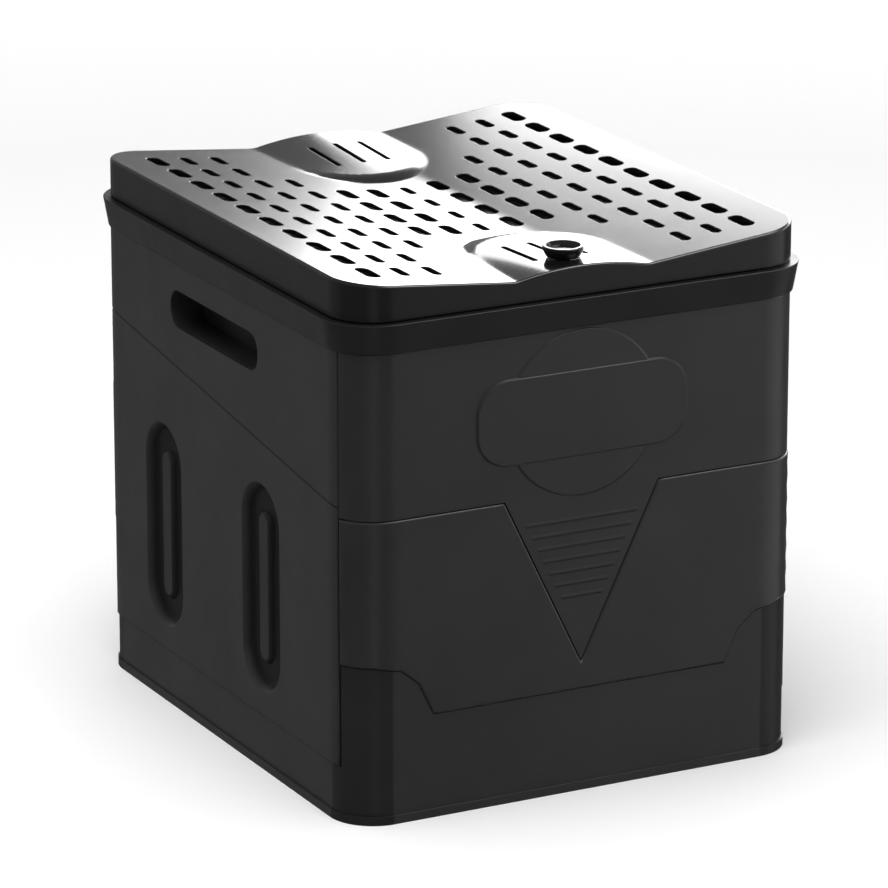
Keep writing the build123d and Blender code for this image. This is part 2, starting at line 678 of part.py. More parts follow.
# ================================================================ seat bumpers
with BuildPart() as seat_bumpers:
    with BuildSketch(Plane.XY.offset(RING_TOP + SEAT_BUMPER_GAP)):
        with GridLocations(2 * SEAT_BUMPER_POS[0], 2 * SEAT_BUMPER_POS[1], 2, 2):
            Circle(SEAT_BUMPER_R)
    extrude(amount=SEAT_BOTTOM - RING_TOP - SEAT_BUMPER_GAP)
finish(seat_bumpers, "seat_bumpers")

# ================================================================ lid cover
spindle_hole_r = SPINDLE_R + ROD_CLEARANCE
panel_top = PANEL_BOTTOM + PANEL_THICK
with BuildPart() as lid_cover:
    slab(LID_INSET, LID_BOTTOM, LID_STOCK_TOP)
    under_lid_top(0, Mode.INTERSECT)
    for front_or_back in (-1, 1):
        dome(front_or_back, 0, LID_BOTTOM, Mode.ADD)
    with BuildPart(mode=Mode.PRIVATE) as hollow:
        slab(LID_INSET + LID_SKIN, LID_BOTTOM, LID_STOCK_TOP)
        under_lid_top(LID_SKIN, Mode.INTERSECT)
        for front_or_back in (-1, 1):
            dome(front_or_back, LID_SKIN, LID_BOTTOM, Mode.ADD)
    add(hollow.part, mode=Mode.SUBTRACT)
    lid_slots()
    boss_top = SEAM_Z + valley_height(BOSS_X) - LID_SKIN / 2
    with BuildSketch(Plane.XY.offset(panel_top)):
        with GridLocations(2 * BOSS_X, BOSS_PITCH_Y, 2, 3):
            Circle(BOSS_R)
    extrude(amount=boss_top - panel_top)
    with BuildSketch(Plane.XY.offset(panel_top)):
        with GridLocations(2 * BOSS_X, BOSS_PITCH_Y, 2, 3):
            Circle(SCREW_R + ROD_CLEARANCE)
    extrude(amount=SCREW_LENGTH, mode=Mode.SUBTRACT)
    spindle_boss_top = SEAM_Z + DOME_TIP_RISE
    with BuildSketch(Plane.XY.offset(panel_top)):
        with Locations((0, KNOB_Y)):
            Circle(SPINDLE_BOSS_R)
    extrude(amount=spindle_boss_top + LID_SKIN - panel_top)
    with BuildSketch(Plane.XY.offset(LID_BOTTOM)):
        with Locations((0, KNOB_Y)):
            Circle(spindle_hole_r)
    extrude(amount=BODY_W, mode=Mode.SUBTRACT)
    lid_face = HALF_D - LID_INSET - LID_SKIN / 2
    lid_web = (
        (lid_face, HINGE_Z + HINGE_BARREL_R),
        (lid_face, SEAM_Z + LID_WEB_RISE),
        (HINGE_Y - LID_WEB_SHOULDER, SEAM_Z + LID_WEB_RISE),
        (HINGE_Y + HINGE_BARREL_R, HINGE_Z + HINGE_BARREL_R),
        (HINGE_Y + HINGE_BARREL_R, HINGE_Z),
        (HINGE_Y - HINGE_BARREL_R, HINGE_Z),
        (HINGE_Y - HINGE_BARREL_R, HINGE_Z + HINGE_BARREL_R),
    )
    rear_knuckle(LID_KNUCKLE, lid_web)
finish(lid_cover, "lid_cover")

# ================================================================ lid inner panel
with BuildPart() as lid_inner_panel:
    slab(LID_INSET + LID_SKIN + PANEL_CLEARANCE, PANEL_BOTTOM, panel_top)
    with BuildSketch(Plane.XY.offset(PANEL_BOTTOM)):
        with GridLocations(2 * BOSS_X, BOSS_PITCH_Y, 2, 3):
            Circle(SCREW_R + ROD_CLEARANCE)
        with Locations((0, KNOB_Y)):
            Circle(spindle_hole_r)
    extrude(amount=PANEL_THICK, mode=Mode.SUBTRACT)
finish(lid_inner_panel, "lid_inner_panel")

# ================================================================ lid screws
with BuildPart() as lid_screws:
    with BuildSketch(Plane.XY.offset(PANEL_BOTTOM - SCREW_HEAD_H)):
        with GridLocations(2 * BOSS_X, BOSS_PITCH_Y, 2, 3):
            Circle(SCREW_HEAD_R)
    extrude(amount=SCREW_HEAD_H)
    with BuildSketch(Plane.XY.offset(PANEL_BOTTOM)):
        with GridLocations(2 * BOSS_X, BOSS_PITCH_Y, 2, 3):
            Circle(SCREW_R)
    extrude(amount=SCREW_LENGTH)
finish(lid_screws, "lid_screws")

# ================================================================ lid bumpers
with BuildPart() as lid_bumpers:
    with BuildSketch(Plane.XY.offset(SEAT_TOP + LID_BUMPER_GAP)):
        with GridLocations(2 * LID_BUMPER_POS[0], 2 * LID_BUMPER_POS[1], 2, 2):
            Circle(LID_BUMPER_R)
    extrude(amount=PANEL_BOTTOM - SEAT_TOP - LID_BUMPER_GAP)
finish(lid_bumpers, "lid_bumpers")

# ================================================================ latch knob with its spindle
with BuildPart() as latch_knob:
    with BuildSketch(Plane.YZ):
        with BuildLine():
            Polyline(
                (0, CAM_TOP),
                (SPINDLE_R, CAM_TOP),
                (SPINDLE_R, KNOB_BASE_Z),
                (KNOB_NECK_R, KNOB_BASE_Z),
                (KNOB_R, KNOB_TOP_Z - KNOB_DISH_DEPTH),
                (KNOB_R, KNOB_TOP_Z - GAP),
                (KNOB_R - GAP, KNOB_TOP_Z),
                (KNOB_DISH_R, KNOB_TOP_Z),
                (KNOB_DISH_FLOOR_R, KNOB_TOP_Z - KNOB_DISH_DEPTH),
                (0, KNOB_TOP_Z - KNOB_DISH_DEPTH),
                close=True,
            )
        make_face()
    revolve(axis=Axis.Z)
    with BuildSketch(Plane.XY.offset(CAM_BOTTOM)):
        Rectangle(SPINDLE_SQUARE, SPINDLE_SQUARE)
    extrude(amount=CAM_TOP - CAM_BOTTOM)
    with BuildSketch(Plane.XY.offset(CAM_BOTTOM)):
        Circle(SCREW_R + ROD_CLEARANCE)
    extrude(amount=SCREW_LENGTH, mode=Mode.SUBTRACT)
latch_knob.part.position = (0, KNOB_Y, 0)
finish(latch_knob, "latch_knob")

# ================================================================ latch cam
with BuildPart() as latch_cam:
    with BuildSketch(Plane.XY.offset(CAM_BOTTOM)):
        with Locations((0, KNOB_Y)):
            Circle(CAM_HUB_R)
        with Locations((CAM_REACH / 2, KNOB_Y)):
            Rectangle(CAM_REACH, CAM_WIDTH)
        with Locations((0, KNOB_Y)):
            Rectangle(SPINDLE_SQUARE + GAP / 2, SPINDLE_SQUARE + GAP / 2, mode=Mode.SUBTRACT)
    extrude(amount=CAM_TOP - CAM_BOTTOM)
finish(latch_cam, "latch_cam")

# ================================================================ latch screw
with BuildPart() as latch_screw:
    with BuildSketch(Plane.XY.offset(CAM_BOTTOM - LATCH_SCREW_HEAD_H)):
        with Locations((0, KNOB_Y)):
            Circle(LATCH_SCREW_HEAD_R)
    extrude(amount=LATCH_SCREW_HEAD_H)
    with BuildSketch(Plane.XY.offset(CAM_BOTTOM)):
        with Locations((0, KNOB_Y)):
            Circle(SCREW_R)
    extrude(amount=LATCH_SCREW_LENGTH)
finish(latch_screw, "latch_screw")
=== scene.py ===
"""Looks of the portable camp toilet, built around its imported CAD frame.

Lengths are in millimetres until a mesh is made, and +Z is up, -Y the front, as in the CAD.
"""

import math

import bmesh
import bpy
import numpy as np
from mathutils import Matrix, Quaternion, Vector
from mathutils.geometry import delaunay_2d_cdt

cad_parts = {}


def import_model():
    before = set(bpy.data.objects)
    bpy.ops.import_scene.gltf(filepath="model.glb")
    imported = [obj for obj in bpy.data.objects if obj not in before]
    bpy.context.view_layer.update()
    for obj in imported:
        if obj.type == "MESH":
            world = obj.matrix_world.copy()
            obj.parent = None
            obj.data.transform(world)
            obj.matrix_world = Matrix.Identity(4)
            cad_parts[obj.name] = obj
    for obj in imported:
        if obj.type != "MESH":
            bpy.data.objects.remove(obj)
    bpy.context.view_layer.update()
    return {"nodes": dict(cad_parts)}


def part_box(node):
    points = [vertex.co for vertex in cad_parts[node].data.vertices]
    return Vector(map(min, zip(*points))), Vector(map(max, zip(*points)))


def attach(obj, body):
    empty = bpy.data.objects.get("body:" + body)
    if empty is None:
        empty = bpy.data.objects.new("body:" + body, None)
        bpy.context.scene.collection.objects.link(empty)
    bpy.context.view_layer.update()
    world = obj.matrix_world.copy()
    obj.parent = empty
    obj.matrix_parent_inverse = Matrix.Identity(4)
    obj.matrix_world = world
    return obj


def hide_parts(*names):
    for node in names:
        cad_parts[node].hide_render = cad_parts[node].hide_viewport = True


MM = 0.001

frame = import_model()


# ---------------------------------------------------------------- sizes read from the frame
def box_mm(node):
    """Lowest and highest corner of a CAD node, in millimetres."""
    low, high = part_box(node)
    return [c / MM for c in low], [c / MM for c in high]


END_HIGH = box_mm("right_end_flap")[1]
LOWER_LOW, LOWER_HIGH = box_mm("front_lower_wall")
UPPER_LOW, UPPER_HIGH = box_mm("front_upper_wall")
LID_LOW, LID_HIGH = box_mm("lid_cover")
SEAT_LOW, SEAT_HIGH = box_mm("seat_front_right")

HALF_W = END_HIGH[0]
HALF_D = -LOWER_LOW[1]
CORNER_R = 27.0
WALL = 3.0
GAP = 0.4
SEAM_Z = 287.0


# ---------------------------------------------------------------- materials
def shaded_material(name):
    """New material with its node tree and one shader."""
    material = bpy.data.materials.new(name)
    material.use_nodes = True
    tree = material.node_tree
    tree.nodes.clear()
    output = tree.nodes.new("ShaderNodeOutputMaterial")
    shader = tree.nodes.new("ShaderNodeBsdfPrincipled")
    tree.links.new(shader.outputs["BSDF"], output.inputs["Surface"])
    return material, tree, shader


def noise(tree, scale, detail=2.0, rough=0.5, stretch=(1, 1, 1)):
    """Noise factor laid out in metres of the object's own frame."""
    place = tree.nodes.new("ShaderNodeTexCoord")
    mapping = tree.nodes.new("ShaderNodeMapping")
    mapping.inputs["Scale"].default_value = stretch
    texture = tree.nodes.new("ShaderNodeTexNoise")
    texture.inputs["Scale"].default_value = scale
    texture.inputs["Detail"].default_value = detail
    texture.inputs["Roughness"].default_value = rough
    tree.links.new(place.outputs["Object"], mapping.inputs["Vector"])
    tree.links.new(mapping.outputs["Vector"], texture.inputs["Vector"])
    return texture.outputs["Fac"]


def remap(tree, value, low, high, start=0.3, end=0.7):
    """Spread a factor between two values."""
    node = tree.nodes.new("ShaderNodeMapRange")
    node.inputs["From Min"].default_value = start
    node.inputs["From Max"].default_value = end
    node.inputs["To Min"].default_value = low
    node.inputs["To Max"].default_value = high
    tree.links.new(value, node.inputs["Value"])
    return node.outputs["Result"]


def blend_colour(tree, factor, first, second):
    """Mix of two colours by a factor. Each is a plain colour or the output of a node."""
    node = tree.nodes.new("ShaderNodeMix")
    node.data_type = "RGBA"
    tree.links.new(factor, node.inputs["Factor"])
    for place, colour in (("A", first), ("B", second)):
        if isinstance(colour, tuple):
            node.inputs[place].default_value = (*colour, 1)
        else:
            tree.links.new(colour, node.inputs[place])
    return node.outputs["Result"]


def bump(tree, height, strength, distance, below=None):
    """Bump from a height, laid over an earlier one."""
    node = tree.nodes.new("ShaderNodeBump")
    node.inputs["Strength"].default_value = strength
    node.inputs["Distance"].default_value = distance
    tree.links.new(height, node.inputs["Height"])
    if below is not None:
        tree.links.new(below, node.inputs["Normal"])
    return node.outputs["Normal"]


def distance_along(tree, axis):
    """Distance from the middle of the object along one of its own axes."""
    place = tree.nodes.new("ShaderNodeTexCoord")
    split = tree.nodes.new("ShaderNodeSeparateXYZ")
    tree.links.new(place.outputs["Object"], split.inputs["Vector"])
    size = tree.nodes.new("ShaderNodeMath")
    size.operation = "ABSOLUTE"
    tree.links.new(split.outputs[axis], size.inputs[0])
    return size.outputs["Value"]


def multiply(tree, first, second):
    """Product of two factors."""
    node = tree.nodes.new("ShaderNodeMath")
    node.operation = "MULTIPLY"
    tree.links.new(first, node.inputs[0])
    tree.links.new(second, node.inputs[1])
    return node.outputs["Value"]


# start and end of each zone of painted shade (darker, less glossy plastic), in metres from the middle of
# the object
RIM_SHADE_MASK_Z = (0.2698, 0.27)
RECESS_SHADE_MASK_X, RECESS_SHADE_MASK_Y = (0.1392, 0.1422), (0.126, 0.13)
CORNER_SHADE_MASK_X, CORNER_SHADE_MASK_Y = (0.1155, 0.1175), (0.1375, 0.1395)


def rim_shade_mask(tree):
    """1 on the flared rim, where a painted shade darkens the downward-facing band, 0 on the skirts below
    it.
    """
    return remap(tree, distance_along(tree, "Z"), 0, 1, *RIM_SHADE_MASK_Z)


def recess_shade_mask(tree):
    """1 on the floor of an end recess, where a painted shade stands in for the occlusion inside the hollow,
    0 on the flat of the end.
    """
    depth = remap(tree, distance_along(tree, "X"), 1, 0, *RECESS_SHADE_MASK_X)
    return multiply(tree, depth, remap(tree, distance_along(tree, "Y"), 1, 0, *RECESS_SHADE_MASK_Y))


def corner_shade_mask(tree):
    """1 on the tray's round corners, where a painted shade darkens the surface that turns away from the
    light, 0 on its flat sides.
    """
    across = remap(tree, distance_along(tree, "X"), 0, 1, *CORNER_SHADE_MASK_X)
    return multiply(tree, across, remap(tree, distance_along(tree, "Y"), 0, 1, *CORNER_SHADE_MASK_Y))


# depth in metres of the bumps that a grain or wave of strength one makes
WAVE_DEPTH, GRAIN_DEPTH = 0.002, 0.00012
COAT_ROUGHNESS = 0.08


def moulded_plastic(name, dark, light, roughness, grain=0.25, wave=0.12, specular=0.5, coat=0.0,
                    shade_mask=None, painted_shade_plastic=None):
    """Moulded plastic: spark-eroded grain, slow waviness, handling marks that vary the gloss.

    A shade mask tells where a painted shade takes over: darker, less glossy plastic (dark, light, specular)
    that stands in for shade on that part.
    """
    material, tree, shader = shaded_material(name)
    shader.inputs["Specular IOR Level"].default_value = specular
    clouds = remap(tree, noise(tree, 22.0, 4.0, 0.6), 0, 1)
    colour = blend_colour(tree, clouds, dark, light)
    # painted shade: where the mask is 1, the darker shade colours and the lower gloss take over
    if shade_mask:
        where = shade_mask(tree)
        shade_dark, shade_light, shade_specular = painted_shade_plastic
        second = blend_colour(tree, clouds, shade_dark, shade_light)
        colour = blend_colour(tree, where, colour, second)
        gloss = remap(tree, where, specular, shade_specular, 0, 1)
        tree.links.new(gloss, shader.inputs["Specular IOR Level"])
    tree.links.new(colour, shader.inputs["Base Color"])
    smudges = noise(tree, 38.0, 6.0, 0.65, (1.0, 1.0, 0.6))
    low, high = roughness
    tree.links.new(remap(tree, smudges, low, high), shader.inputs["Roughness"])
    waves = bump(tree, noise(tree, 9.0, 1.0), wave, WAVE_DEPTH)
    pits = bump(tree, noise(tree, 1500.0, 2.0, 0.6), grain, GRAIN_DEPTH, waves)
    tree.links.new(pits, shader.inputs["Normal"])
    shader.inputs["Coat Weight"].default_value = coat
    shader.inputs["Coat Roughness"].default_value = COAT_ROUGHNESS
    return material


def rubber(name):
    """Soft black rubber with a dusty bloom."""
    material, tree, shader = shaded_material(name)
    bloom = noise(tree, 160.0, 5.0, 0.7)
    colour = blend_colour(tree, remap(tree, bloom, 0, 1), (0.012, 0.012, 0.012), (0.032, 0.031, 0.03))
    tree.links.new(colour, shader.inputs["Base Color"])
    tree.links.new(remap(tree, bloom, 0.7, 0.92), shader.inputs["Roughness"])
    tree.links.new(bump(tree, noise(tree, 900.0, 3.0), 0.4, 0.0002), shader.inputs["Normal"])
    return material


def drawn_steel(name, along):
    """Steel wire or screw steel, with fine lines along one axis."""
    material, tree, shader = shaded_material(name)
    stretch = tuple(0.04 if axis == along else 1.0 for axis in range(3))
    lines = noise(tree, 2200.0, 3.0, 0.6, stretch)
    colour = blend_colour(tree, remap(tree, lines, 0, 1), (0.42, 0.42, 0.43), (0.62, 0.62, 0.63))
    tree.links.new(colour, shader.inputs["Base Color"])
    tree.links.new(remap(tree, lines, 0.22, 0.42), shader.inputs["Roughness"])
    tree.links.new(bump(tree, lines, 0.2, 0.00005), shader.inputs["Normal"])
    shader.inputs["Metallic"].default_value = 1.0
    return material


BODY_DARK, BODY_LIGHT = (0.0132, 0.0132, 0.0138), (0.0166, 0.0166, 0.0173)
# painted shade: the rim band is darker because it faces down, away from the overhead light
RIM_SHADED_DARK, RIM_SHADED_LIGHT = (0.007, 0.007, 0.0074), (0.0095, 0.0095, 0.01)
# painted shade: the recess floors are darker and less glossy, in place of the occlusion inside the hollows
RECESS_SHADED_DARK, RECESS_SHADED_LIGHT = (0.0055, 0.0055, 0.0058), (0.007, 0.007, 0.0074)
# painted shade: the tray's round corners are darker and less glossy, standing in for the shade on their
# turned surfaces
CORNER_SHADED_DARK, CORNER_SHADED_LIGHT = (0.0115, 0.0115, 0.012), (0.0145, 0.0145, 0.015)
SATIN = (0.3, 0.4)
BODY = moulded_plastic("satin_black_body", BODY_DARK, BODY_LIGHT, SATIN)
# the frame's rim takes the painted shade
FRAME_SHADED_RIM = moulded_plastic("satin_black_frame_painted_rim_shade", BODY_DARK, BODY_LIGHT, SATIN, shade_mask=rim_shade_mask,
                        painted_shade_plastic=(RIM_SHADED_DARK, RIM_SHADED_LIGHT, 0.45))
# the ends' recess floors take the painted shade
FLAP_SHADED_RECESS = moulded_plastic("satin_black_end_painted_recess_shade", BODY_DARK, BODY_LIGHT, SATIN, shade_mask=recess_shade_mask,
                       painted_shade_plastic=(RECESS_SHADED_DARK, RECESS_SHADED_LIGHT, 0.12))
# the tray's round corners take the painted shade
TRAY_SHADED_CORNERS = moulded_plastic("satin_black_tray_painted_corner_shade", BODY_DARK, BODY_LIGHT, SATIN, shade_mask=corner_shade_mask,
                       painted_shade_plastic=(CORNER_SHADED_DARK, CORNER_SHADED_LIGHT, 0.2))
LID = moulded_plastic("polished_black_lid", (0.004, 0.004, 0.0043), (0.006, 0.006, 0.0063),
                      (0.14, 0.17), grain=0.02, wave=0.012, coat=0.3)
LID_SIDE = moulded_plastic("satin_black_lid_side", (0.0045, 0.0045, 0.0048), (0.0065, 0.0065, 0.0068),
                           (0.26, 0.34), grain=0.1, wave=0.05, specular=0.4)
SEAT = moulded_plastic("smooth_grey_seat", (0.03, 0.03, 0.032), (0.042, 0.042, 0.044),
                       (0.26, 0.34), grain=0.04, wave=0.03)
KNOB = moulded_plastic("polished_black_knob", (0.004, 0.004, 0.0045), (0.007, 0.007, 0.0075),
                       (0.12, 0.2), grain=0.1)
RUBBER = rubber("soft_rubber")
STEEL_X = drawn_steel("drawn_steel_x", 0)
STEEL_Y = drawn_steel("drawn_steel_y", 1)
STEEL_Z = drawn_steel("turned_steel_z", 2)


# ---------------------------------------------------------------- CAD nodes that stay
SHARP_ANGLE = math.radians(35)
FLAT_ANGLE = math.radians(0.3)
WELD_REACH = 0.002


def round_off(piece, bevel):
    """Softly rounded edges on a mesh piece."""
    round_edges = piece.modifiers.new("round_edges", "BEVEL")
    round_edges.width = bevel * MM
    round_edges.segments = 3
    round_edges.limit_method = "ANGLE"
    round_edges.angle_limit = SHARP_ANGLE
    round_edges.face_strength_mode = "FSTR_ALL"
    smooth = piece.modifiers.new("flat_faces", "WEIGHTED_NORMAL")
    smooth.keep_sharp = False
    smooth.use_face_influence = True
    for face in piece.data.polygons:
        face.use_smooth = True


def dress(node, material, bevel=0.3, whole_faces=False):
    """Give a CAD node its material and softly rounded edges, and join its flat triangles if asked."""
    piece = frame["nodes"][node]
    piece.data.materials.clear()
    piece.data.materials.append(material)
    weld = piece.modifiers.new("weld", "WELD")
    weld.merge_threshold = WELD_REACH * MM
    if whole_faces:
        join = piece.modifiers.new("whole_faces", "DECIMATE")
        join.decimate_type = "DISSOLVE"
        join.angle_limit = FLAT_ANGLE
    round_off(piece, bevel)


dress("base_tray", TRAY_SHADED_CORNERS, 0.6)
dress("anti_slip_pads", RUBBER)
for side in ("front", "back"):
    dress(f"{side}_wall_rods", STEEL_X, 0.2)
for side in ("left", "right"):
    dress(f"{side}_handle_cup", BODY, 0.5)
    dress(f"{side}_flap_rods", STEEL_Y, 0.2)
dress("upper_frame", FRAME_SHADED_RIM, 0.5)
dress("bag_ring", SEAT, 0.5)
dress("lid_hinge_pins", STEEL_X, 0.3)
dress("seat_bumpers", RUBBER, 0.4)
dress("lid_inner_panel", BODY, 0.4, whole_faces=True)
dress("lid_screws", STEEL_Z, 0.3)
dress("lid_bumpers", RUBBER, 0.4)
dress("latch_knob", KNOB, 0.3)
dress("latch_cam", KNOB, 0.4)
dress("latch_screw", STEEL_Z, 0.3)


# ---------------------------------------------------------------- sheets with modelled relief
EDGE_ANGLES = tuple(math.radians(a) for a in (0, 22.5, 45, 67.5, 90))
SMALLEST_EDGE = 0.05
GRID_CELL = 8
GRID_ROW = 0.866


def arc_points(centre, radius, start, sweep, step=1.2):
    """Points along an arc, in degrees."""
    count = max(4, math.ceil(abs(math.radians(sweep)) * radius / step))
    turn = np.radians(start + sweep * np.arange(count + 1) / count)
    return np.stack([centre[0] + radius * np.cos(turn), centre[1] + radius * np.sin(turn)], 1)


def rounded_box(centre, width, height, radius, step=1.2, side_step=4.0):
    """Counter-clockwise rounded rectangle, also a stadium or a circle."""
    half_w, half_h = width / 2 - radius, height / 2 - radius
    corners = ((half_w, -half_h, -90), (half_w, half_h, 0), (-half_w, half_h, 90), (-half_w, -half_h, 180))
    arcs = [arc_points((centre[0] + x, centre[1] + y), radius, start, 90, step) for x, y, start in corners]
    return thin_out(subdivide(np.concatenate(arcs), side_step))


def stadium(centre, width, length, step, side_step):
    """Outline of a slot with round ends, which keeps a hair of straight edge between them."""
    return rounded_box(centre, width, length, width / 2 - 0.01, step, side_step)


def subdivide(points, step):
    """Closed outline with extra points on its long edges."""
    out = []
    for here, there in zip(points, np.roll(points, -1, 0)):
        count = max(1, math.ceil(np.linalg.norm(there - here) / step))
        out += [here + (there - here) * k / count for k in range(count)]
    return np.array(out)


def thin_out(points):
    """The outline without points that fall on the one before."""
    gap = np.linalg.norm(points - np.roll(points, 1, 0), axis=1)
    return points[gap > SMALLEST_EDGE]


def sides(points):
    """Unit direction out of a counter-clockwise outline at each point, and its mitre stretch."""
    ahead = np.roll(points, -1, 0) - points
    ahead /= np.linalg.norm(ahead, axis=1)[:, None]
    out = np.stack([ahead[:, 1], -ahead[:, 0]], 1)
    middle = out + np.roll(out, 1, 0)
    middle /= np.linalg.norm(middle, axis=1)[:, None]
    stretch = 1 / np.clip((middle * out).sum(1), 0.4, 1)
    return middle, stretch


def inside(points, outline):
    """Which points lie inside a closed outline."""
    result = np.zeros(len(points), bool)
    near = np.all((points >= outline.min(0)) & (points <= outline.max(0)), axis=1)
    x, y = points[near].T
    odd = np.zeros(len(x), bool)
    for (x0, y0), (x1, y1) in zip(outline, np.roll(outline, -1, 0)):
        if y0 != y1:
            odd ^= ((y0 > y) != (y1 > y)) & (x < x0 + (y - y0) * (x1 - x0) / (y1 - y0))
    result[near] = odd
    return result


def mesh_object(name, vertices, faces, normals, material, body, nodes=()):
    """Mesh piece with its own corner normals, riding on a body."""
    mesh = bpy.data.meshes.new(name)
    mesh.from_pydata([tuple(v) for v in np.asarray(vertices) * MM], [], faces)
    mesh.polygons.foreach_set("use_smooth", [True] * len(mesh.polygons))
    mesh.materials.append(material)
    mesh.update()
    mesh.normals_split_custom_set([tuple(n) for n in normals])
    piece = bpy.data.objects.new(name, mesh)
    bpy.context.scene.collection.objects.link(piece)
    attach(piece, body)
    if nodes:
        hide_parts(*nodes)
    return piece


def unit(vectors):
    """Vectors at length one."""
    return vectors / np.maximum(np.linalg.norm(vectors, axis=-1), 1e-9)[..., None]


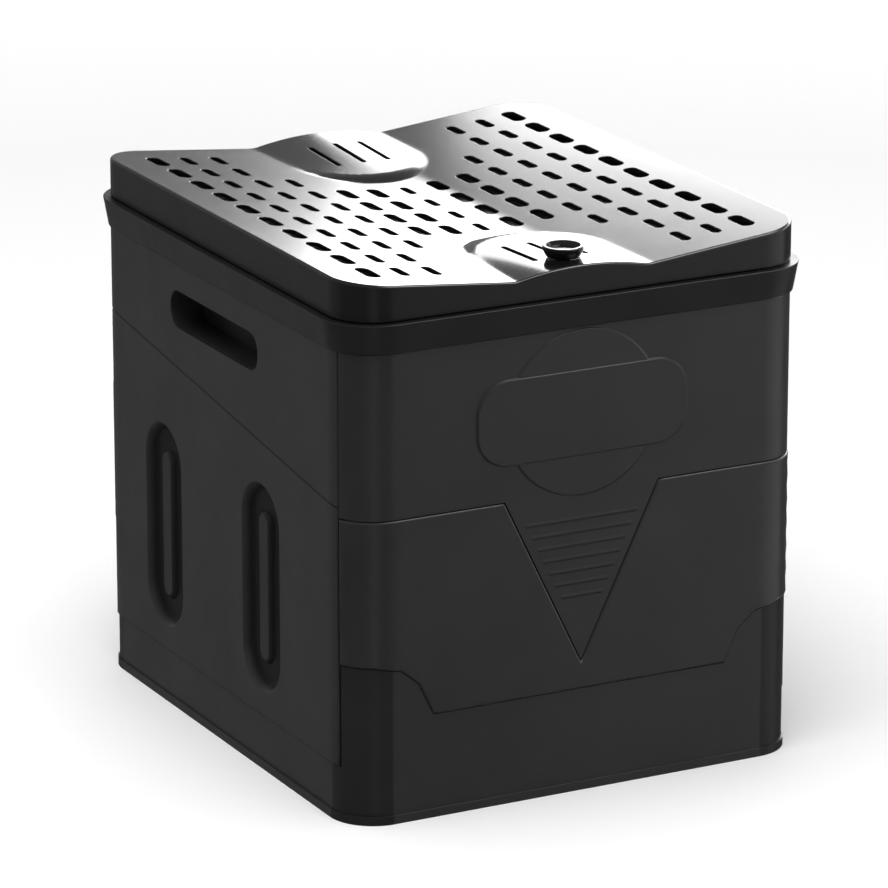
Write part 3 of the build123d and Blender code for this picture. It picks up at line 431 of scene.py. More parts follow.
class Sheet:
    """Plate laid out flat in (u, v), with rounded edges, holes and a relief, then bent into place."""

    def __init__(self, place, axes, relief, back, edge=0.8):
        self.place, self.axes, self.relief, self.back, self.edge = place, axes, relief, back, edge
        self.points, self.drop, self.lean, self.void, self.constraints = [], [], [], [], []
        self.loops, self.count = [], 0

    def add_points(self, points, drop=0.0, lean=0.0, void=None):
        """Add points to the layout and return the number of the first."""
        first = self.count
        self.points.append(points)
        self.drop.append(np.full(len(points), drop))
        self.lean.append(np.full(len(points), lean))
        self.void.append(np.zeros((len(points), 2)) if void is None else void)
        self.count += len(points)
        return first

    def add_loop(self, points, hole=False, edge=None, extra=()):
        """Add an edge: rings of points that round it off, and further rings at extra distances."""
        out, stretch = sides(points)
        into = 1.0 if hole else -1.0
        radius = self.edge if edge is None else edge
        void = -into * out

        def moved(away):
            return points + into * out * (stretch * away)[:, None]

        starts = []
        for angle in EDGE_ANGLES:
            ring = moved(radius * (1 - math.cos(angle)))
            starts.append(self.add_ring(ring, radius * (1 - math.sin(angle)), math.cos(angle), void))
        for away in extra:
            starts.append(self.add_ring(moved(away), 0, 0, void))
        self.loops.append({"outline": points, "hole": hole, "starts": starts, "void": void,
                           "count": len(points), "inner": moved(extra[-1] if extra else 0)})

    def add_ring(self, points, drop=0.0, lean=0.0, void=None):
        """Add a closed ring whose edges the faces keep to."""
        first = self.add_points(points, drop, lean, void)
        numbers = np.arange(len(points)) + first
        self.constraints.append(np.stack([numbers, np.roll(numbers, -1)], 1))
        return first

    def add_grid(self, pitch, clearance):
        """Fill the layout with an even grid that keeps clear of what is there."""
        taken = np.concatenate(self.points)
        outline = self.loops[0]["outline"]
        low, high = outline.min(0), outline.max(0)
        u = np.arange(low[0] + pitch / 2, high[0], pitch)
        v = np.arange(low[1] + pitch / 2, high[1], pitch * GRID_ROW)
        grid = np.stack(np.meshgrid(u, v), -1)
        grid[1::2, :, 0] += pitch / 2
        grid = grid.reshape(-1, 2)
        grid = grid[inside(grid, outline)]
        for loop in self.loops:
            if loop["hole"]:
                grid = grid[~inside(grid, loop["outline"])]
        keep = np.ones(len(grid), bool)
        cell = {}
        for point in taken:
            cell.setdefault(tuple(int(c) for c in point // GRID_CELL), []).append(point)
        for number, point in enumerate(grid):
            i, j = (int(c) for c in point // GRID_CELL)
            cells = ((a, b) for a in (i - 1, i, i + 1) for b in (j - 1, j, j + 1))
            near = [p for place in cells for p in cell.get(place, ())]
            if near and np.min(np.sum((np.array(near) - point) ** 2, 1)) < clearance ** 2:
                keep[number] = False
        self.add_points(grid[keep])

    def triangles(self):
        """Faces of the layout, none of them in a hole, and those that have a back as well."""
        points = np.concatenate(self.points)
        edges = [tuple(map(int, e)) for e in np.concatenate(self.constraints)]
        found = delaunay_2d_cdt([Vector(p) for p in points], edges, [], 0, 1e-6)
        origin = [o[0] for o in found[3]]
        faces = np.array([[origin[i] for i in f] for f in found[2]])
        middle = points[faces].mean(1)
        keep = inside(middle, self.loops[0]["outline"])
        for loop in self.loops:
            if loop["hole"]:
                keep &= ~inside(middle, loop["outline"])
        faces, middle = faces[keep], middle[keep]
        a, b, c = points[faces[:, 0]], points[faces[:, 1]], points[faces[:, 2]]
        turn = (b[:, 0] - a[:, 0]) * (c[:, 1] - a[:, 1]) - (b[:, 1] - a[:, 1]) * (c[:, 0] - a[:, 0])
        faces[turn < 0] = faces[turn < 0][:, ::-1]
        return faces, inside(middle, self.loops[0]["inner"])

    def build(self, name, material, body, nodes=(), slot=None, skirt=(), skirt_material=None):
        """Bend the layout into place, close its edges and back, and make the piece."""
        points = np.concatenate(self.points)
        drop, lean, void = (np.concatenate(x) for x in (self.drop, self.lean, self.void))
        faces, backed = self.triangles()
        u, v = points.T
        height = self.relief(u, v)
        tiny = 0.02
        slope_u = (self.relief(u + tiny, v) - self.relief(u - tiny, v)) / (2 * tiny)
        slope_v = (self.relief(u, v + tiny) - self.relief(u, v - tiny)) / (2 * tiny)
        along, up, out = self.axes(u, v)
        face_normal = unit(out - slope_u[:, None] * along - slope_v[:, None] * up)
        edge_normal = void[:, :1] * along + void[:, 1:] * up
        rise = np.sqrt(1 - lean ** 2)
        top_normal = unit(face_normal * rise[:, None] + edge_normal * lean[:, None])
        top = self.place(u, v, height - drop)
        bottom = self.place(u, v, self.back(u, v))
        count = len(points)
        vertices = [top, bottom]
        backs = faces[backed][:, ::-1]
        mesh_faces = [tuple(f) for f in faces] + [tuple(f + count) for f in backs]
        corner_normals = [*top_normal[faces].reshape(-1, 3), *(-out)[backs].reshape(-1, 3)]
        total = 2 * count
        for number, loop in enumerate(self.loops):
            first, length = loop["starts"][0], loop["count"]
            ring = np.arange(first, first + length)
            level = [(ring, edge_normal[ring])]
            if number == 0:
                for away, z, tilt in skirt:
                    shifted = points[ring] - loop["void"] * away
                    vertices.append(np.stack([shifted[:, 0], shifted[:, 1], np.full(length, z)], 1))
                    turned = edge_normal[ring] * tilt[0] + np.array([0, 0, tilt[1]])
                    level.append((np.arange(total, total + length), unit(turned)))
                    total += length
            last = loop["starts"][-1] if number == 0 and skirt else first
            inward = -1 if number == 0 and skirt else 1
            back_ring = np.arange(last, last + length) + count
            level.append((back_ring, inward * edge_normal[ring]))
            for (upper, upper_n), (lower, lower_n) in zip(level, level[1:]):
                for k in range(length):
                    j = (k + 1) % length
                    quad = (upper[k], lower[k], lower[j], upper[j])
                    turn = (upper_n[k], lower_n[k], lower_n[j], upper_n[j])
                    if loop["hole"]:
                        quad, turn = quad[::-1], turn[::-1]
                    mesh_faces.append(tuple(int(q) for q in quad))
                    corner_normals += turn
            if number == 0:
                skirt_faces = range(len(faces) + backed.sum(), len(mesh_faces))
        all_vertices = np.concatenate(vertices)
        used = np.unique(np.concatenate([np.array(f) for f in mesh_faces]))
        number_of = np.full(len(all_vertices), -1)
        number_of[used] = np.arange(len(used))
        mesh_faces = [tuple(int(number_of[i]) for i in f) for f in mesh_faces]
        piece = mesh_object(name, all_vertices[used], mesh_faces, corner_normals, material, body, nodes)
        if skirt_material:
            piece.data.materials.append(skirt_material)
            for number in skirt_faces:
                piece.data.polygons[number].material_index = 1


def smooth_step(value, low, high):
    """Eased step from 0 to 1."""
    t = np.clip((value - low) / (high - low), 0, 1)
    return t * t * (3 - 2 * t)


def smooth_max(first, second, softness):
    """The larger of two heights, with a soft fillet between them."""
    return softness * np.logaddexp(first / softness, second / softness)


def box_distance(u, v, centre, width, height, radius):
    """Signed distance to a rounded rectangle, negative inside."""
    du = np.abs(u - centre[0]) - width / 2 + radius
    dv = np.abs(v - centre[1]) - height / 2 + radius
    return np.hypot(np.maximum(du, 0), np.maximum(dv, 0)) + np.minimum(np.maximum(du, dv), 0) - radius


# ---------------------------------------------------------------- lid cover
LID_TOP_BASE = 8.7
LID_SLOPE = 0.102
LID_BLEND = 25.0
LID_SKIN = 2.5
LID_EDGE = 1.6
DOME_HALF = 45.0
DOME_CENTRE_Y = 111.0
DOME_TIP_Y = 66.0
DOME_FOOT = 11.95
DOME_TIP_RISE = 12.6
DOME_EDGE_RISE = 17.6
DOME_ROUNDING = 3.4
SLOT_PITCH = (19.4, 29.8)
# width, length and number of rows of the slots in each column, from the middle outwards
SLOT_COLUMNS = ((4.5, 16.0, 4), (7.6, 21.0, 4), (7.6, 21.0, 4), (5.6, 18.5, 6), (5.6, 18.5, 10),
                (5.6, 18.5, 10), (8.2, 21.5, 10))
DOME_SLOT = (3.0, 40.0, 16.0, 120.0)
SLOT_STEPS, SLOT_EDGE = (0.5, 3.0), 0.4
# rings of extra points along the edge of each dome, as distances inside it
DOME_RINGS, RING_CLEARANCE = (-2.0, 0.0, 2.0, 5.0, 9.0), 1.6
LID_BOTTOM = SEAM_Z + 0.5


def lid_top(x, y):
    """Height of the lid's top above the seam: a shallow valley with a soft dome at front and back."""
    reach = np.abs(x)
    flat = LID_TOP_BASE + LID_SLOPE * (reach ** 2 / LID_BLEND + LID_BLEND) / 2
    valley = np.where(reach < LID_BLEND, flat, LID_TOP_BASE + LID_SLOPE * reach)
    far = np.abs(y)
    along = np.clip((far - DOME_TIP_Y) / (HALF_D - DOME_TIP_Y), -0.3, 1.1)
    crest = DOME_TIP_RISE + (DOME_EDGE_RISE - DOME_TIP_RISE) * along
    arch = DOME_FOOT + (crest - DOME_FOOT) * (1 - (x / DOME_HALF) ** 2)
    from_edge = DOME_HALF - np.hypot(x, np.maximum(DOME_CENTRE_Y - far, 0))
    end = smooth_step(DOME_CENTRE_Y - far, -4.0, 26.0)
    rounding = DOME_ROUNDING * np.clip(1 - from_edge / 11.0, 0, 3) ** 2 * end
    beyond = np.clip(-from_edge, 0, 40) * 0.8
    dome = arch - rounding - beyond
    return smooth_max(valley, dome, 0.32)


def lid_place(x, y, height):
    """Point of the lid at a height above its seam."""
    return np.stack([x, y, SEAM_Z + height], 1)


def flat_axes(x, y):
    """Directions along x, y and up, the same everywhere."""
    return tuple(np.tile(np.array(v, float), (len(x), 1)) for v in ((1, 0, 0), (0, 1, 0), (0, 0, 1)))


def lid_cover():
    """Perforated lid: valley, domes, bevelled slots, rolled edge and skirt."""
    half_x, half_y = LID_HIGH[0], -LID_LOW[1]
    corner = CORNER_R - (HALF_W - half_x)
    sheet = Sheet(lid_place, flat_axes, lid_top, lambda x, y: lid_top(x, y) - LID_SKIN)
    outline = rounded_box((0, 0), 2 * half_x, 2 * half_y, corner, 1.5, 3.0)
    sheet.add_loop(outline, edge=LID_EDGE, extra=(LID_SKIN,))
    for column, (width, length, rows) in enumerate(SLOT_COLUMNS):
        for x in {column * SLOT_PITCH[0], -column * SLOT_PITCH[0]}:
            for row in range(rows):
                y = (row - (rows - 1) / 2) * SLOT_PITCH[1]
                sheet.add_loop(stadium((x, y), width, length, *SLOT_STEPS), hole=True, edge=SLOT_EDGE)
    width, length, pitch, middle = DOME_SLOT
    for x in (-pitch, 0, pitch):
        for y in (-middle, middle):
            sheet.add_loop(stadium((x, y), width, length, *SLOT_STEPS), hole=True, edge=SLOT_EDGE)
    for end in (-1, 1):
        for away in DOME_RINGS:
            turn = np.radians(np.arange(0, 181, 3))
            radius = DOME_HALF - away
            arc = np.stack([radius * np.cos(turn), end * (DOME_CENTRE_Y - radius * np.sin(turn))], 1)
            clear = np.ones(len(arc), bool)
            for loop in sheet.loops[1:]:
                gap = np.abs(arc - loop["outline"].mean(0)) - np.ptp(loop["outline"], 0) / 2
                clear &= np.max(gap, 1) > RING_CLEARANCE
            sheet.add_points(arc[clear])
    sheet.add_grid(2.6, 1.5)
    skirt = ((0, LID_BOTTOM + 0.5, (1, 0)), (0.5, LID_BOTTOM, (0.3, -1)),
             (LID_SKIN - 0.5, LID_BOTTOM, (-0.3, -1)), (LID_SKIN, LID_BOTTOM + 0.5, (-1, 0)))
    sheet.build("lid_shell", LID, "lid", ("lid_cover",), "lid_plastic", skirt, LID_SIDE)


lid_cover()


# ---------------------------------------------------------------- front and back walls
WALL_END_Y, PANEL_END_Y = 147.0, 146.6
CORNER_TURN = math.acos((WALL_END_Y - HALF_D + CORNER_R) / CORNER_R)
WALL_END = HALF_W - CORNER_R + CORNER_R * CORNER_TURN
UPPER_INSET = 0.6
MID_SEAM_Z = LOWER_HIGH[2]
EMBLEM_Z = 221.0
DISC_R = 48.0
DISC_RISE = 0.9
PLATE = (132.0, 50.0, 20.0)
PLATE_RISE = 1.5
FLANK = 1.0
TONGUE_HALF_W = 48.0
TONGUE_TIP_Z = UPPER_LOW[2]
RIB_TOP_Z, RIB_PITCH, RIB_COUNT = 160.0, 7.4, 7
RIB_HALF, RIB_RISE, RIB_MARGIN = 1.6, 0.45, 5.0
# distances inside the emblem's outlines, and across a rib, at which the mesh gets lines of points
EMBLEM_LINES = (-0.3, 0.0, 0.35, 0.65, 0.95, 1.3, 1.7)
RIB_LINES = (-1.6, -1.0, -0.5, 0.0, 0.5, 1.0, 1.6)
TRAY_LINE = ((92.0, 60.0), (101.0, 79.0), (112.0, 88.0), (128.0, 91.0))


def wrap(quarter, inset=0.0):
    """How a sheet bends round one side of the body, whose u runs along that side from its middle."""
    flat = (HALF_D if quarter % 2 else HALF_W) - CORNER_R
    stand = (HALF_W if quarter % 2 else HALF_D) - CORNER_R
    cosine, sine = ((1, 0), (0, 1), (-1, 0), (0, -1))[quarter]

    def turned(x, y, z):
        return np.stack([x * cosine - y * sine, x * sine + y * cosine, z], 1)

    def bend(u):
        return np.clip(u, -flat, flat), np.sign(u) * np.maximum(np.abs(u) - flat, 0) / CORNER_R

    def place(u, v, height):
        base, angle = bend(u)
        radius = CORNER_R - inset + height
        return turned(base + radius * np.sin(angle), -stand - radius * np.cos(angle), v)

    def axes(u, v):
        angle = bend(u)[1]
        nothing = np.zeros(len(u))
        return (turned(np.cos(angle), np.sin(angle), nothing), turned(nothing, nothing, nothing + 1),
                turned(np.sin(angle), -np.cos(angle), nothing))

    return place, axes


def raised(distance, rise, flank=FLANK):
    """Height of a pad whose flank slopes down to its outline."""
    return rise * smooth_step(-distance, 0, flank)


def rib_levels():
    """Height and half length of each grip rib on the tongue."""
    for number in range(RIB_COUNT):
        z = RIB_TOP_Z - number * RIB_PITCH
        yield z, TONGUE_HALF_W * (z - TONGUE_TIP_Z) / (MID_SEAM_Z - TONGUE_TIP_Z) - RIB_MARGIN


def upper_relief(u, v):
    """Emblem of a disc with a plate across it, and the grip ribs."""
    disc = raised(np.hypot(u, v - EMBLEM_Z) - DISC_R, DISC_RISE)
    plate = raised(box_distance(u, v, (0, EMBLEM_Z), *PLATE), PLATE_RISE)
    height = np.maximum(disc, plate)
    for z, reach in rib_levels():
        across = 1 - smooth_step(np.abs(v - z), 0.2, RIB_HALF)
        height = height + RIB_RISE * across * (1 - smooth_step(np.abs(u), reach - 1.5, reach))
    return height


def upper_wall(side, quarter):
    """Upper half of a wall, with its tongue."""
    place, axes = wrap(quarter, UPPER_INSET)
    sheet = Sheet(place, axes, upper_relief, lambda u, v: np.full(len(u), -WALL), edge=0.3)
    low, high = MID_SEAM_Z + GAP, UPPER_HIGH[2]
    corners = np.array([(-WALL_END, low), (-TONGUE_HALF_W, low), (0, TONGUE_TIP_Z), (TONGUE_HALF_W, low),
                        (WALL_END, low), (WALL_END, high), (-WALL_END, high)])
    sheet.add_loop(subdivide(corners, 4.0))
    for away in EMBLEM_LINES:
        width, height, radius = PLATE[0] - 2 * away, PLATE[1] - 2 * away, PLATE[2] - away
        sheet.add_points(rounded_box((0, EMBLEM_Z), width, height, radius, 1, 1.3))
        radius = DISC_R - away
        circle = rounded_box((0, EMBLEM_Z), 2 * radius, 2 * radius, radius, 1.0)
        sheet.add_points(circle[box_distance(*circle.T, (0, EMBLEM_Z), *PLATE) > 0.5])
    for z, reach in rib_levels():
        count = max(6, int(reach))
        for away in RIB_LINES:
            sheet.add_points(np.stack([np.linspace(-reach, reach, count), np.full(count, z + away)], 1))
    sheet.add_grid(4.0, 2.2)
    sheet.build(f"{side}_upper_panel", BODY, "base", (f"{side}_upper_wall",), "body_plastic")


def lower_wall(side, quarter):
    """Lower half of a wall, notched for the tongue and stepped along the tray."""
    place, axes = wrap(quarter)
    flat = HALF_W - CORNER_R

    def unrolled(x):
        return x if x < flat else flat + CORNER_R * math.asin((x - flat) / CORNER_R)

    rise = [(unrolled(x), z + GAP) for x, z in TRAY_LINE]
    top = MID_SEAM_Z
    right = [*rise, (WALL_END, TRAY_LINE[-1][1] + GAP), (WALL_END, top), (TONGUE_HALF_W + GAP, top)]
    left = [(-u, z) for u, z in reversed(right)]
    corners = np.array([*right, (0, TONGUE_TIP_Z - 2 * GAP), *left])
    sheet = Sheet(place, axes, lambda u, v: 0 * u, lambda u, v: np.full(len(u), -WALL), edge=1.3)
    sheet.add_loop(subdivide(corners, 4.0))
    sheet.add_grid(8.0, 3.0)
    sheet.build(f"{side}_lower_panel", BODY, "base", (f"{side}_lower_wall",), "body_plastic")


# ---------------------------------------------------------------- ends
END_END = HALF_D - CORNER_R + CORNER_R * math.asin((PANEL_END_Y - HALF_D + CORNER_R) / CORNER_R)
END_FOOT_Z = 32.4
SLANT_MID_Z, SLANT_SLOPE = 201.0, 0.1333
OVALS = (-75.0, 53.0)
OVAL_Z = 108.0
OVAL_SIZE = (49.0, 124.0, 24.5)
OVAL_DEPTH, OVAL_FLANK = 4.5, 6.0
RIDGE_SIZE = (17.0, 92.0, 8.5)
RIDGE_RISE, RIDGE_FLANK = 2.7, 3.5
POCKET_DEPTH = 4.0
# distances inside the outlines of a recess and of its ridge at which the mesh gets lines of points
OVAL_LINES = (-0.8, 0.0, 0.8, 1.7, 2.6, 3.5, 4.4, 5.3, 6.2)
RIDGE_LINES = (-0.5, 0.0, 0.7, 1.4, 2.1, 2.8, 3.5, 4.2)


def end_relief(u, v):
    """Two long recesses, each with a ridge standing on its floor."""
    height = 0 * u
    for middle in OVALS:
        outer = box_distance(u, v, (middle, OVAL_Z), *OVAL_SIZE)
        inner = box_distance(u, v, (middle, OVAL_Z), *RIDGE_SIZE)
        height = height - raised(outer, OVAL_DEPTH, OVAL_FLANK) + raised(inner, RIDGE_RISE, RIDGE_FLANK)
    return height


def end_back(u, v):
    """Inside of an end panel, thicker behind the recesses."""
    depth = -WALL + 0 * u
    for middle in OVALS:
        outer = box_distance(u, v, (middle, OVAL_Z), *OVAL_SIZE)
        depth = depth - POCKET_DEPTH * smooth_step(-outer, -3.0, 3.0)
    return depth


def end_panel(side, quarter):
    """Folding end panel below the slanted seam."""
    place, axes = wrap(quarter)
    seam = [SLANT_MID_Z - SLANT_SLOPE * u - GAP / 2 for u in (END_END, -END_END)]
    corners = np.array([(-END_END, END_FOOT_Z), (END_END, END_FOOT_Z),
                        (END_END, seam[0]), (-END_END, seam[1])])
    sheet = Sheet(place, axes, end_relief, end_back, edge=1.0)
    sheet.add_loop(subdivide(corners, 5.0))
    for middle in OVALS:
        for (width, height, _), lines, steps in ((OVAL_SIZE, OVAL_LINES, (1.4, 2.2)),
                                                 (RIDGE_SIZE, RIDGE_LINES, (1.0, 2.0))):
            for away in lines:
                sheet.add_points(stadium((middle, OVAL_Z), width - 2 * away, height - 2 * away, *steps))
    sheet.add_grid(6.0, 2.6)
    sheet.build(f"{side}_end_panel", FLAP_SHADED_RECESS, f"{side}_flap", (f"{side}_end_flap",), "body_plastic")


for name, quarter in (("front", 0), ("back", 2)):
    upper_wall(name, quarter)
    lower_wall(name, quarter)
for name, quarter in (("right", 1), ("left", 3)):
    end_panel(name, quarter)


# ---------------------------------------------------------------- hinge barrels of the replaced nodes
BARREL_EDGE = 0.3


def barrels(name, axis, side, centre, radius, arc, web, spans, material, body):
    """Hinge barrels along X or Y: one section, swept over each span on both sides of the middle."""
    start, sweep = arc
    section = [*web, *arc_points(centre, radius, start, sweep, 0.6)]
    build = bmesh.new()
    for low, high in (pair for a, b in spans for pair in ((a, b), (-b, -a))):
        rings = []
        for along in (low, high):
            if axis == "X":
                places = [(along, side * p, z) for p, z in section]
            else:
                places = [(side * p, along, z) for p, z in section]
            rings.append([build.verts.new([c * MM for c in place]) for place in places])
        build.faces.new(rings[0])
        build.faces.new(rings[1])
        for k in range(len(section)):
            j = (k + 1) % len(section)
            build.faces.new((rings[0][k], rings[0][j], rings[1][j], rings[1][k]))
    bmesh.ops.recalc_face_normals(build, faces=build.faces)
    mesh = bpy.data.meshes.new(name)
    build.to_mesh(mesh)
    build.free()
    mesh.materials.append(material)
    piece = bpy.data.objects.new(name, mesh)
    bpy.context.scene.collection.objects.link(piece)
    round_off(piece, BARREL_EDGE)
    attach(piece, body)


HINGE = (175.0, 284.0)
HINGE_R = 5.0
LID_FACE_Y = HALF_D - 1.75
LID_WEB = ((HINGE[0] + HINGE_R, 289.0), (171.0, 299.0), (LID_FACE_Y, 299.0), (LID_FACE_Y, 289.0),
           (170.0, 289.0))
SEAT_WEB = ((150.0, 285.6), (150.0, 279.0))
barrels("lid_rear_knuckles", "X", 1, HINGE, HINGE_R, (180, 180), LID_WEB, ((68.6, 77.4),), LID, "lid")
barrels("seat_rear_knuckles", "X", 1, HINGE, HINGE_R, (-90, 251.3), SEAT_WEB, ((78.6, 87.4),), SEAT, "seat")

WALL_AXIS_Y, WALL_BARREL_R = 157.6, 2.8
OUTER_SPANS, INNER_SPANS = ((56.0, 66.0), (86.0, 96.0)), ((66.4, 85.6),)


def wall_barrels(name, side, z, up, spans):
    """Barrels inside a wall, with a web that rises or drops to the wall's inner face."""
    inner, clear, reach = WALL_AXIS_Y - WALL_BARREL_R, WALL_AXIS_Y + WALL_BARREL_R, HALF_D - WALL
    web = ((inner, z + up * 7.5), (reach, z + up * 7.5), (reach, z + up * 0.8), (clear, z + up * 0.8))
    barrels(name, "X", side, (WALL_AXIS_Y, z), WALL_BARREL_R, (0, -180 * up), web, spans, BODY, "base")


for name, side in (("front", -1), ("back", 1)):
    wall_barrels(f"{name}_lower_wall_foot_knuckles", side, 60.2, 1, INNER_SPANS)
    wall_barrels(f"{name}_lower_wall_top_knuckles", side, 172.4, -1, OUTER_SPANS)
    wall_barrels(f"{name}_upper_wall_foot_knuckles", side, 172.4, 1, INNER_SPANS)
    wall_barrels(f"{name}_upper_wall_top_knuckles", side, 263.0, -1, OUTER_SPANS)
FLAP_AXIS, FLAP_BARREL_R = (135.5, 29.0), 3.0
FLAP_WEB = ((132.5, 38.4), (141.0, 38.4), (141.0, 32.8), (138.5, 32.8))
for name, side in (("left", -1), ("right", 1)):
    barrels(f"{name}_flap_knuckles", "Y", side, FLAP_AXIS, FLAP_BARREL_R, (0, -180), FLAP_WEB,
            ((99.6, 114.6),), BODY, f"{name}_flap")


# ---------------------------------------------------------------- seat
SEAT_NODES = tuple(f"seat_{side}_{end}" for side in ("front", "back") for end in ("left", "right"))
SEAT_TOP, SEAT_THICK = 286.0, 9.0
SEAT_OPENING = (186.0, 236.0, 93.0)
SEAT_NOTCH = (24.0, 32.0)
SEAT_DISH, SEAT_DISH_REACH = 2.6, 34.0


def seat_relief(x, y):
    """Seat top that falls gently towards its opening."""
    away = box_distance(x, y, (0, 0), *SEAT_OPENING)
    return -SEAT_DISH * (1 - smooth_step(away, 0, SEAT_DISH_REACH)) ** 2


def seat():
    """Seat plate with a long oval opening and a notch for the latch."""
    half_x, half_y = SEAT_HIGH[0], -SEAT_LOW[1]
    corner = CORNER_R - (HALF_W - half_x)
    outline = rounded_box((0, 0), 2 * half_x, 2 * half_y, corner, 1.5, 3.0)
    notch_x, notch_y = SEAT_NOTCH[0], SEAT_NOTCH[1] - HALF_D
    front = (np.abs(outline[:, 0]) < notch_x + 1) & (outline[:, 1] < 0)
    first = np.flatnonzero(front)[0]
    notch = np.concatenate([arc_points((-notch_x - 3, -half_y + 3), 3, -90, 90, 0.8),
                            arc_points((-notch_x + 4, notch_y - 4), 4, 180, -90, 0.8),
                            arc_points((notch_x - 4, notch_y - 4), 4, 90, -90, 0.8),
                            arc_points((notch_x + 3, -half_y + 3), 3, 180, 90, 0.8)])
    around = np.roll(outline, -first, 0)[~np.roll(front, -first)]
    around = around[(np.abs(around[:, 0]) > notch_x + 3.5) | (around[:, 1] > 0)]
    sheet = Sheet(lambda x, y, height: np.stack([x, y, SEAT_TOP + height], 1), flat_axes, seat_relief,
                  lambda x, y: np.full(len(x), -SEAT_THICK), edge=2.5)
    sheet.add_loop(thin_out(subdivide(np.concatenate([notch, around]), 3.0)))
    sheet.add_loop(stadium((0, 0), *SEAT_OPENING[:2], 2.0, 3.0), hole=True, edge=3.0)
    sheet.add_grid(5.0, 2.4)
    sheet.build("seat_ring", SEAT, "seat", SEAT_NODES, "seat_plastic")


seat()


# ---------------------------------------------------------------- studio
def emitter(name, size, place, target, power, roll=0.0, glossy=True, diffuse=True):
    """Soft area light that faces a target, turned about its own axis by a roll in degrees."""
    light = bpy.data.lights.new(name, "AREA")
    light.shape = "RECTANGLE"
    light.size, light.size_y = size
    light.energy = power
    lamp = bpy.data.objects.new(name, light)
    lamp.location = place
    turn = Quaternion((0, 0, 1), math.radians(roll))
    lamp.rotation_euler = ((Vector(target) - Vector(place)).to_track_quat("-Z", "Y") @ turn).to_euler()
    lamp.visible_camera = False
    lamp.visible_glossy = glossy
    lamp.visible_diffuse = diffuse
    bpy.context.scene.collection.objects.link(lamp)


PALE = (0.9, 0.9, 0.9)
# strength of the floor's own glow, and the distances in metres at which it starts and is full
FLOOR_GLOW, FLOOR_GLOW_REACH = 0.68, (1.3, 3.6)


def studio_floor():
    """Large plain pale floor that stays pale far from the lights."""
    mesh = bpy.data.meshes.new("studio_floor")
    build = bmesh.new()
    bmesh.ops.create_grid(build, x_segments=8, y_segments=8, size=12)
    build.to_mesh(mesh)
    build.free()
    floor = bpy.data.objects.new("studio_floor", mesh)
    bpy.context.scene.collection.objects.link(floor)
    material, tree, shader = shaded_material("pale_floor")
    shader.inputs["Base Color"].default_value = (*PALE, 1)
    shader.inputs["Roughness"].default_value = 0.9
    shader.inputs["Specular IOR Level"].default_value = 0.1
    place = tree.nodes.new("ShaderNodeTexCoord")
    reach = tree.nodes.new("ShaderNodeVectorMath")
    reach.operation = "LENGTH"
    tree.links.new(place.outputs["Object"], reach.inputs[0])
    glow = remap(tree, reach.outputs["Value"], 0, FLOOR_GLOW, *FLOOR_GLOW_REACH)
    shader.inputs["Emission Color"].default_value = (1, 1, 1, 1)
    tree.links.new(glow, shader.inputs["Emission Strength"])
    material.cycles.emission_sampling = "NONE"
    floor.data.materials.append(material)
    floor.visible_glossy = False
    floor.visible_shadow = False


# grey of the surroundings from straight down (0) to straight up (1)
WORLD_STOPS = ((0.0, 0.10), (0.44, 0.10), (0.49, 0.3), (1.0, 0.3))


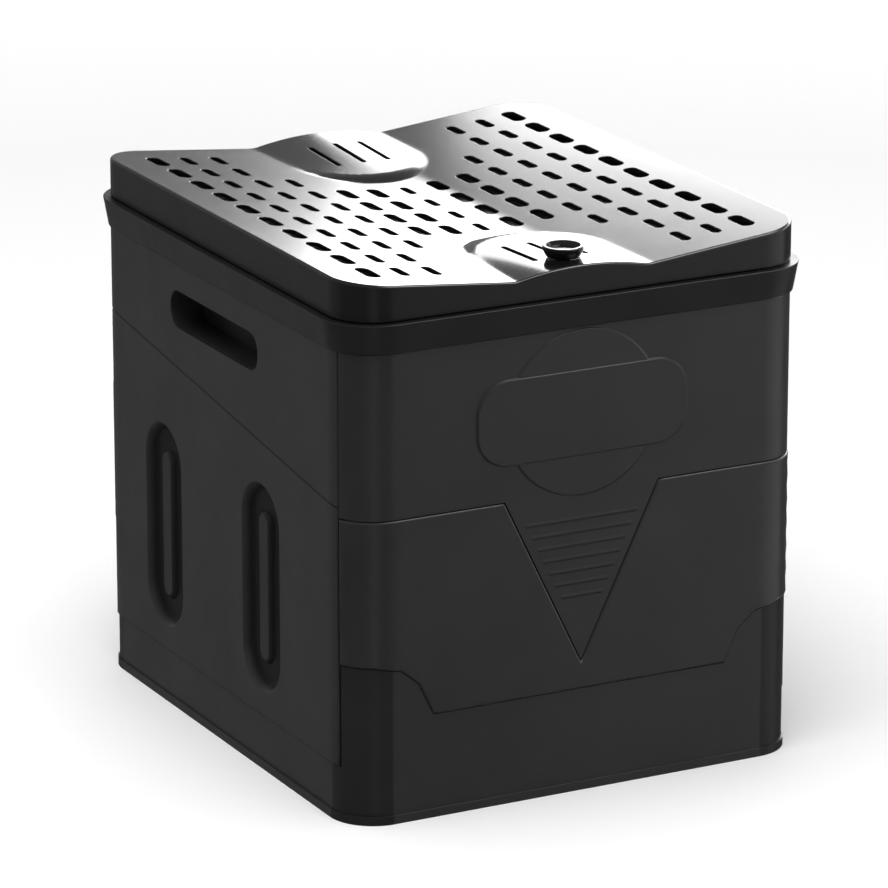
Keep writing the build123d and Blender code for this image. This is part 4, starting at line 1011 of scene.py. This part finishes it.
def world():
    """Even dim surroundings, darker below the floor, that look pale where they are seen directly."""
    surroundings = bpy.data.worlds.new("studio")
    surroundings.use_nodes = True
    tree = surroundings.node_tree
    place = tree.nodes.new("ShaderNodeTexCoord")
    split = tree.nodes.new("ShaderNodeSeparateXYZ")
    ramp = tree.nodes.new("ShaderNodeValToRGB")
    tree.links.new(place.outputs["Generated"], split.inputs["Vector"])
    spread = tree.nodes.new("ShaderNodeMapRange")
    spread.inputs["From Min"].default_value = -1.0
    tree.links.new(split.outputs["Z"], spread.inputs["Value"])
    tree.links.new(spread.outputs["Result"], ramp.inputs["Fac"])
    for number, (at, level) in enumerate(WORLD_STOPS):
        stop = ramp.color_ramp.elements[number] if number < 2 else ramp.color_ramp.elements.new(at)
        stop.position = at
        stop.color = (level, level, level, 1)
    seen = tree.nodes.new("ShaderNodeLightPath").outputs["Is Camera Ray"]
    colour = blend_colour(tree, seen, ramp.outputs["Color"], PALE)
    tree.links.new(colour, tree.nodes["Background"].inputs["Color"])
    bpy.context.scene.world = surroundings


def camera():
    """Camera at the photograph's viewing angle."""
    eye = Vector((-1.4765, -2.8339, 1.1525))
    aim = Vector((0.0, 0.0, 0.157))
    lens = bpy.data.cameras.new("camera")
    lens.sensor_width = 36.0
    lens.lens = 236.0
    lens.clip_end = 100.0
    view = bpy.data.objects.new("camera", lens)
    view.location = eye
    view.rotation_euler = (aim - eye).to_track_quat("-Z", "Y").to_euler()
    bpy.context.scene.collection.objects.link(view)
    bpy.context.scene.camera = view


BOX_MIDDLE = (0, 0, 0.15)
studio_floor()
world()
emitter("overhead_softbox", (3.0, 3.0), (-0.6, -0.6, 3.2), (0, 0, 0.2), 130, glossy=False)
emitter("back_card", (2.84, 1.75), (2.93, 2.73, 1.3), (0, 0, 0.3), 105, roll=-17, diffuse=False)
emitter("edge_light", (2.2, 1.8), (1.46, -0.98, 2.95), BOX_MIDDLE, 60, diffuse=False)
emitter("right_card", (2.6, 2.0), (3.4, 0.3, 1.1), BOX_MIDDLE, 32, diffuse=False)
emitter("bounce_card", (1.6, 1.6), (0.88, 0.6, -1.54), BOX_MIDDLE, 24, diffuse=False)
emitter("front_card", (3.6, 2.2), (2.87, -2.01, -0.3), BOX_MIDDLE, 20, diffuse=False)
emitter("left_card", (4.9, 1.6), (-2.25, 2.68, -0.85), BOX_MIDDLE, 2.9, diffuse=False)
emitter("floor_light", (5.0, 3.0), (2.2, 4.4, 2.6), (2.0, 3.6, 0), 45, glossy=False)
emitter("corner_strip", (0.8, 1.6), (-1.17, -2.76, -0.8), BOX_MIDDLE, 1.3, diffuse=False)
camera()
bpy.context.scene.view_settings.view_transform = "Standard"
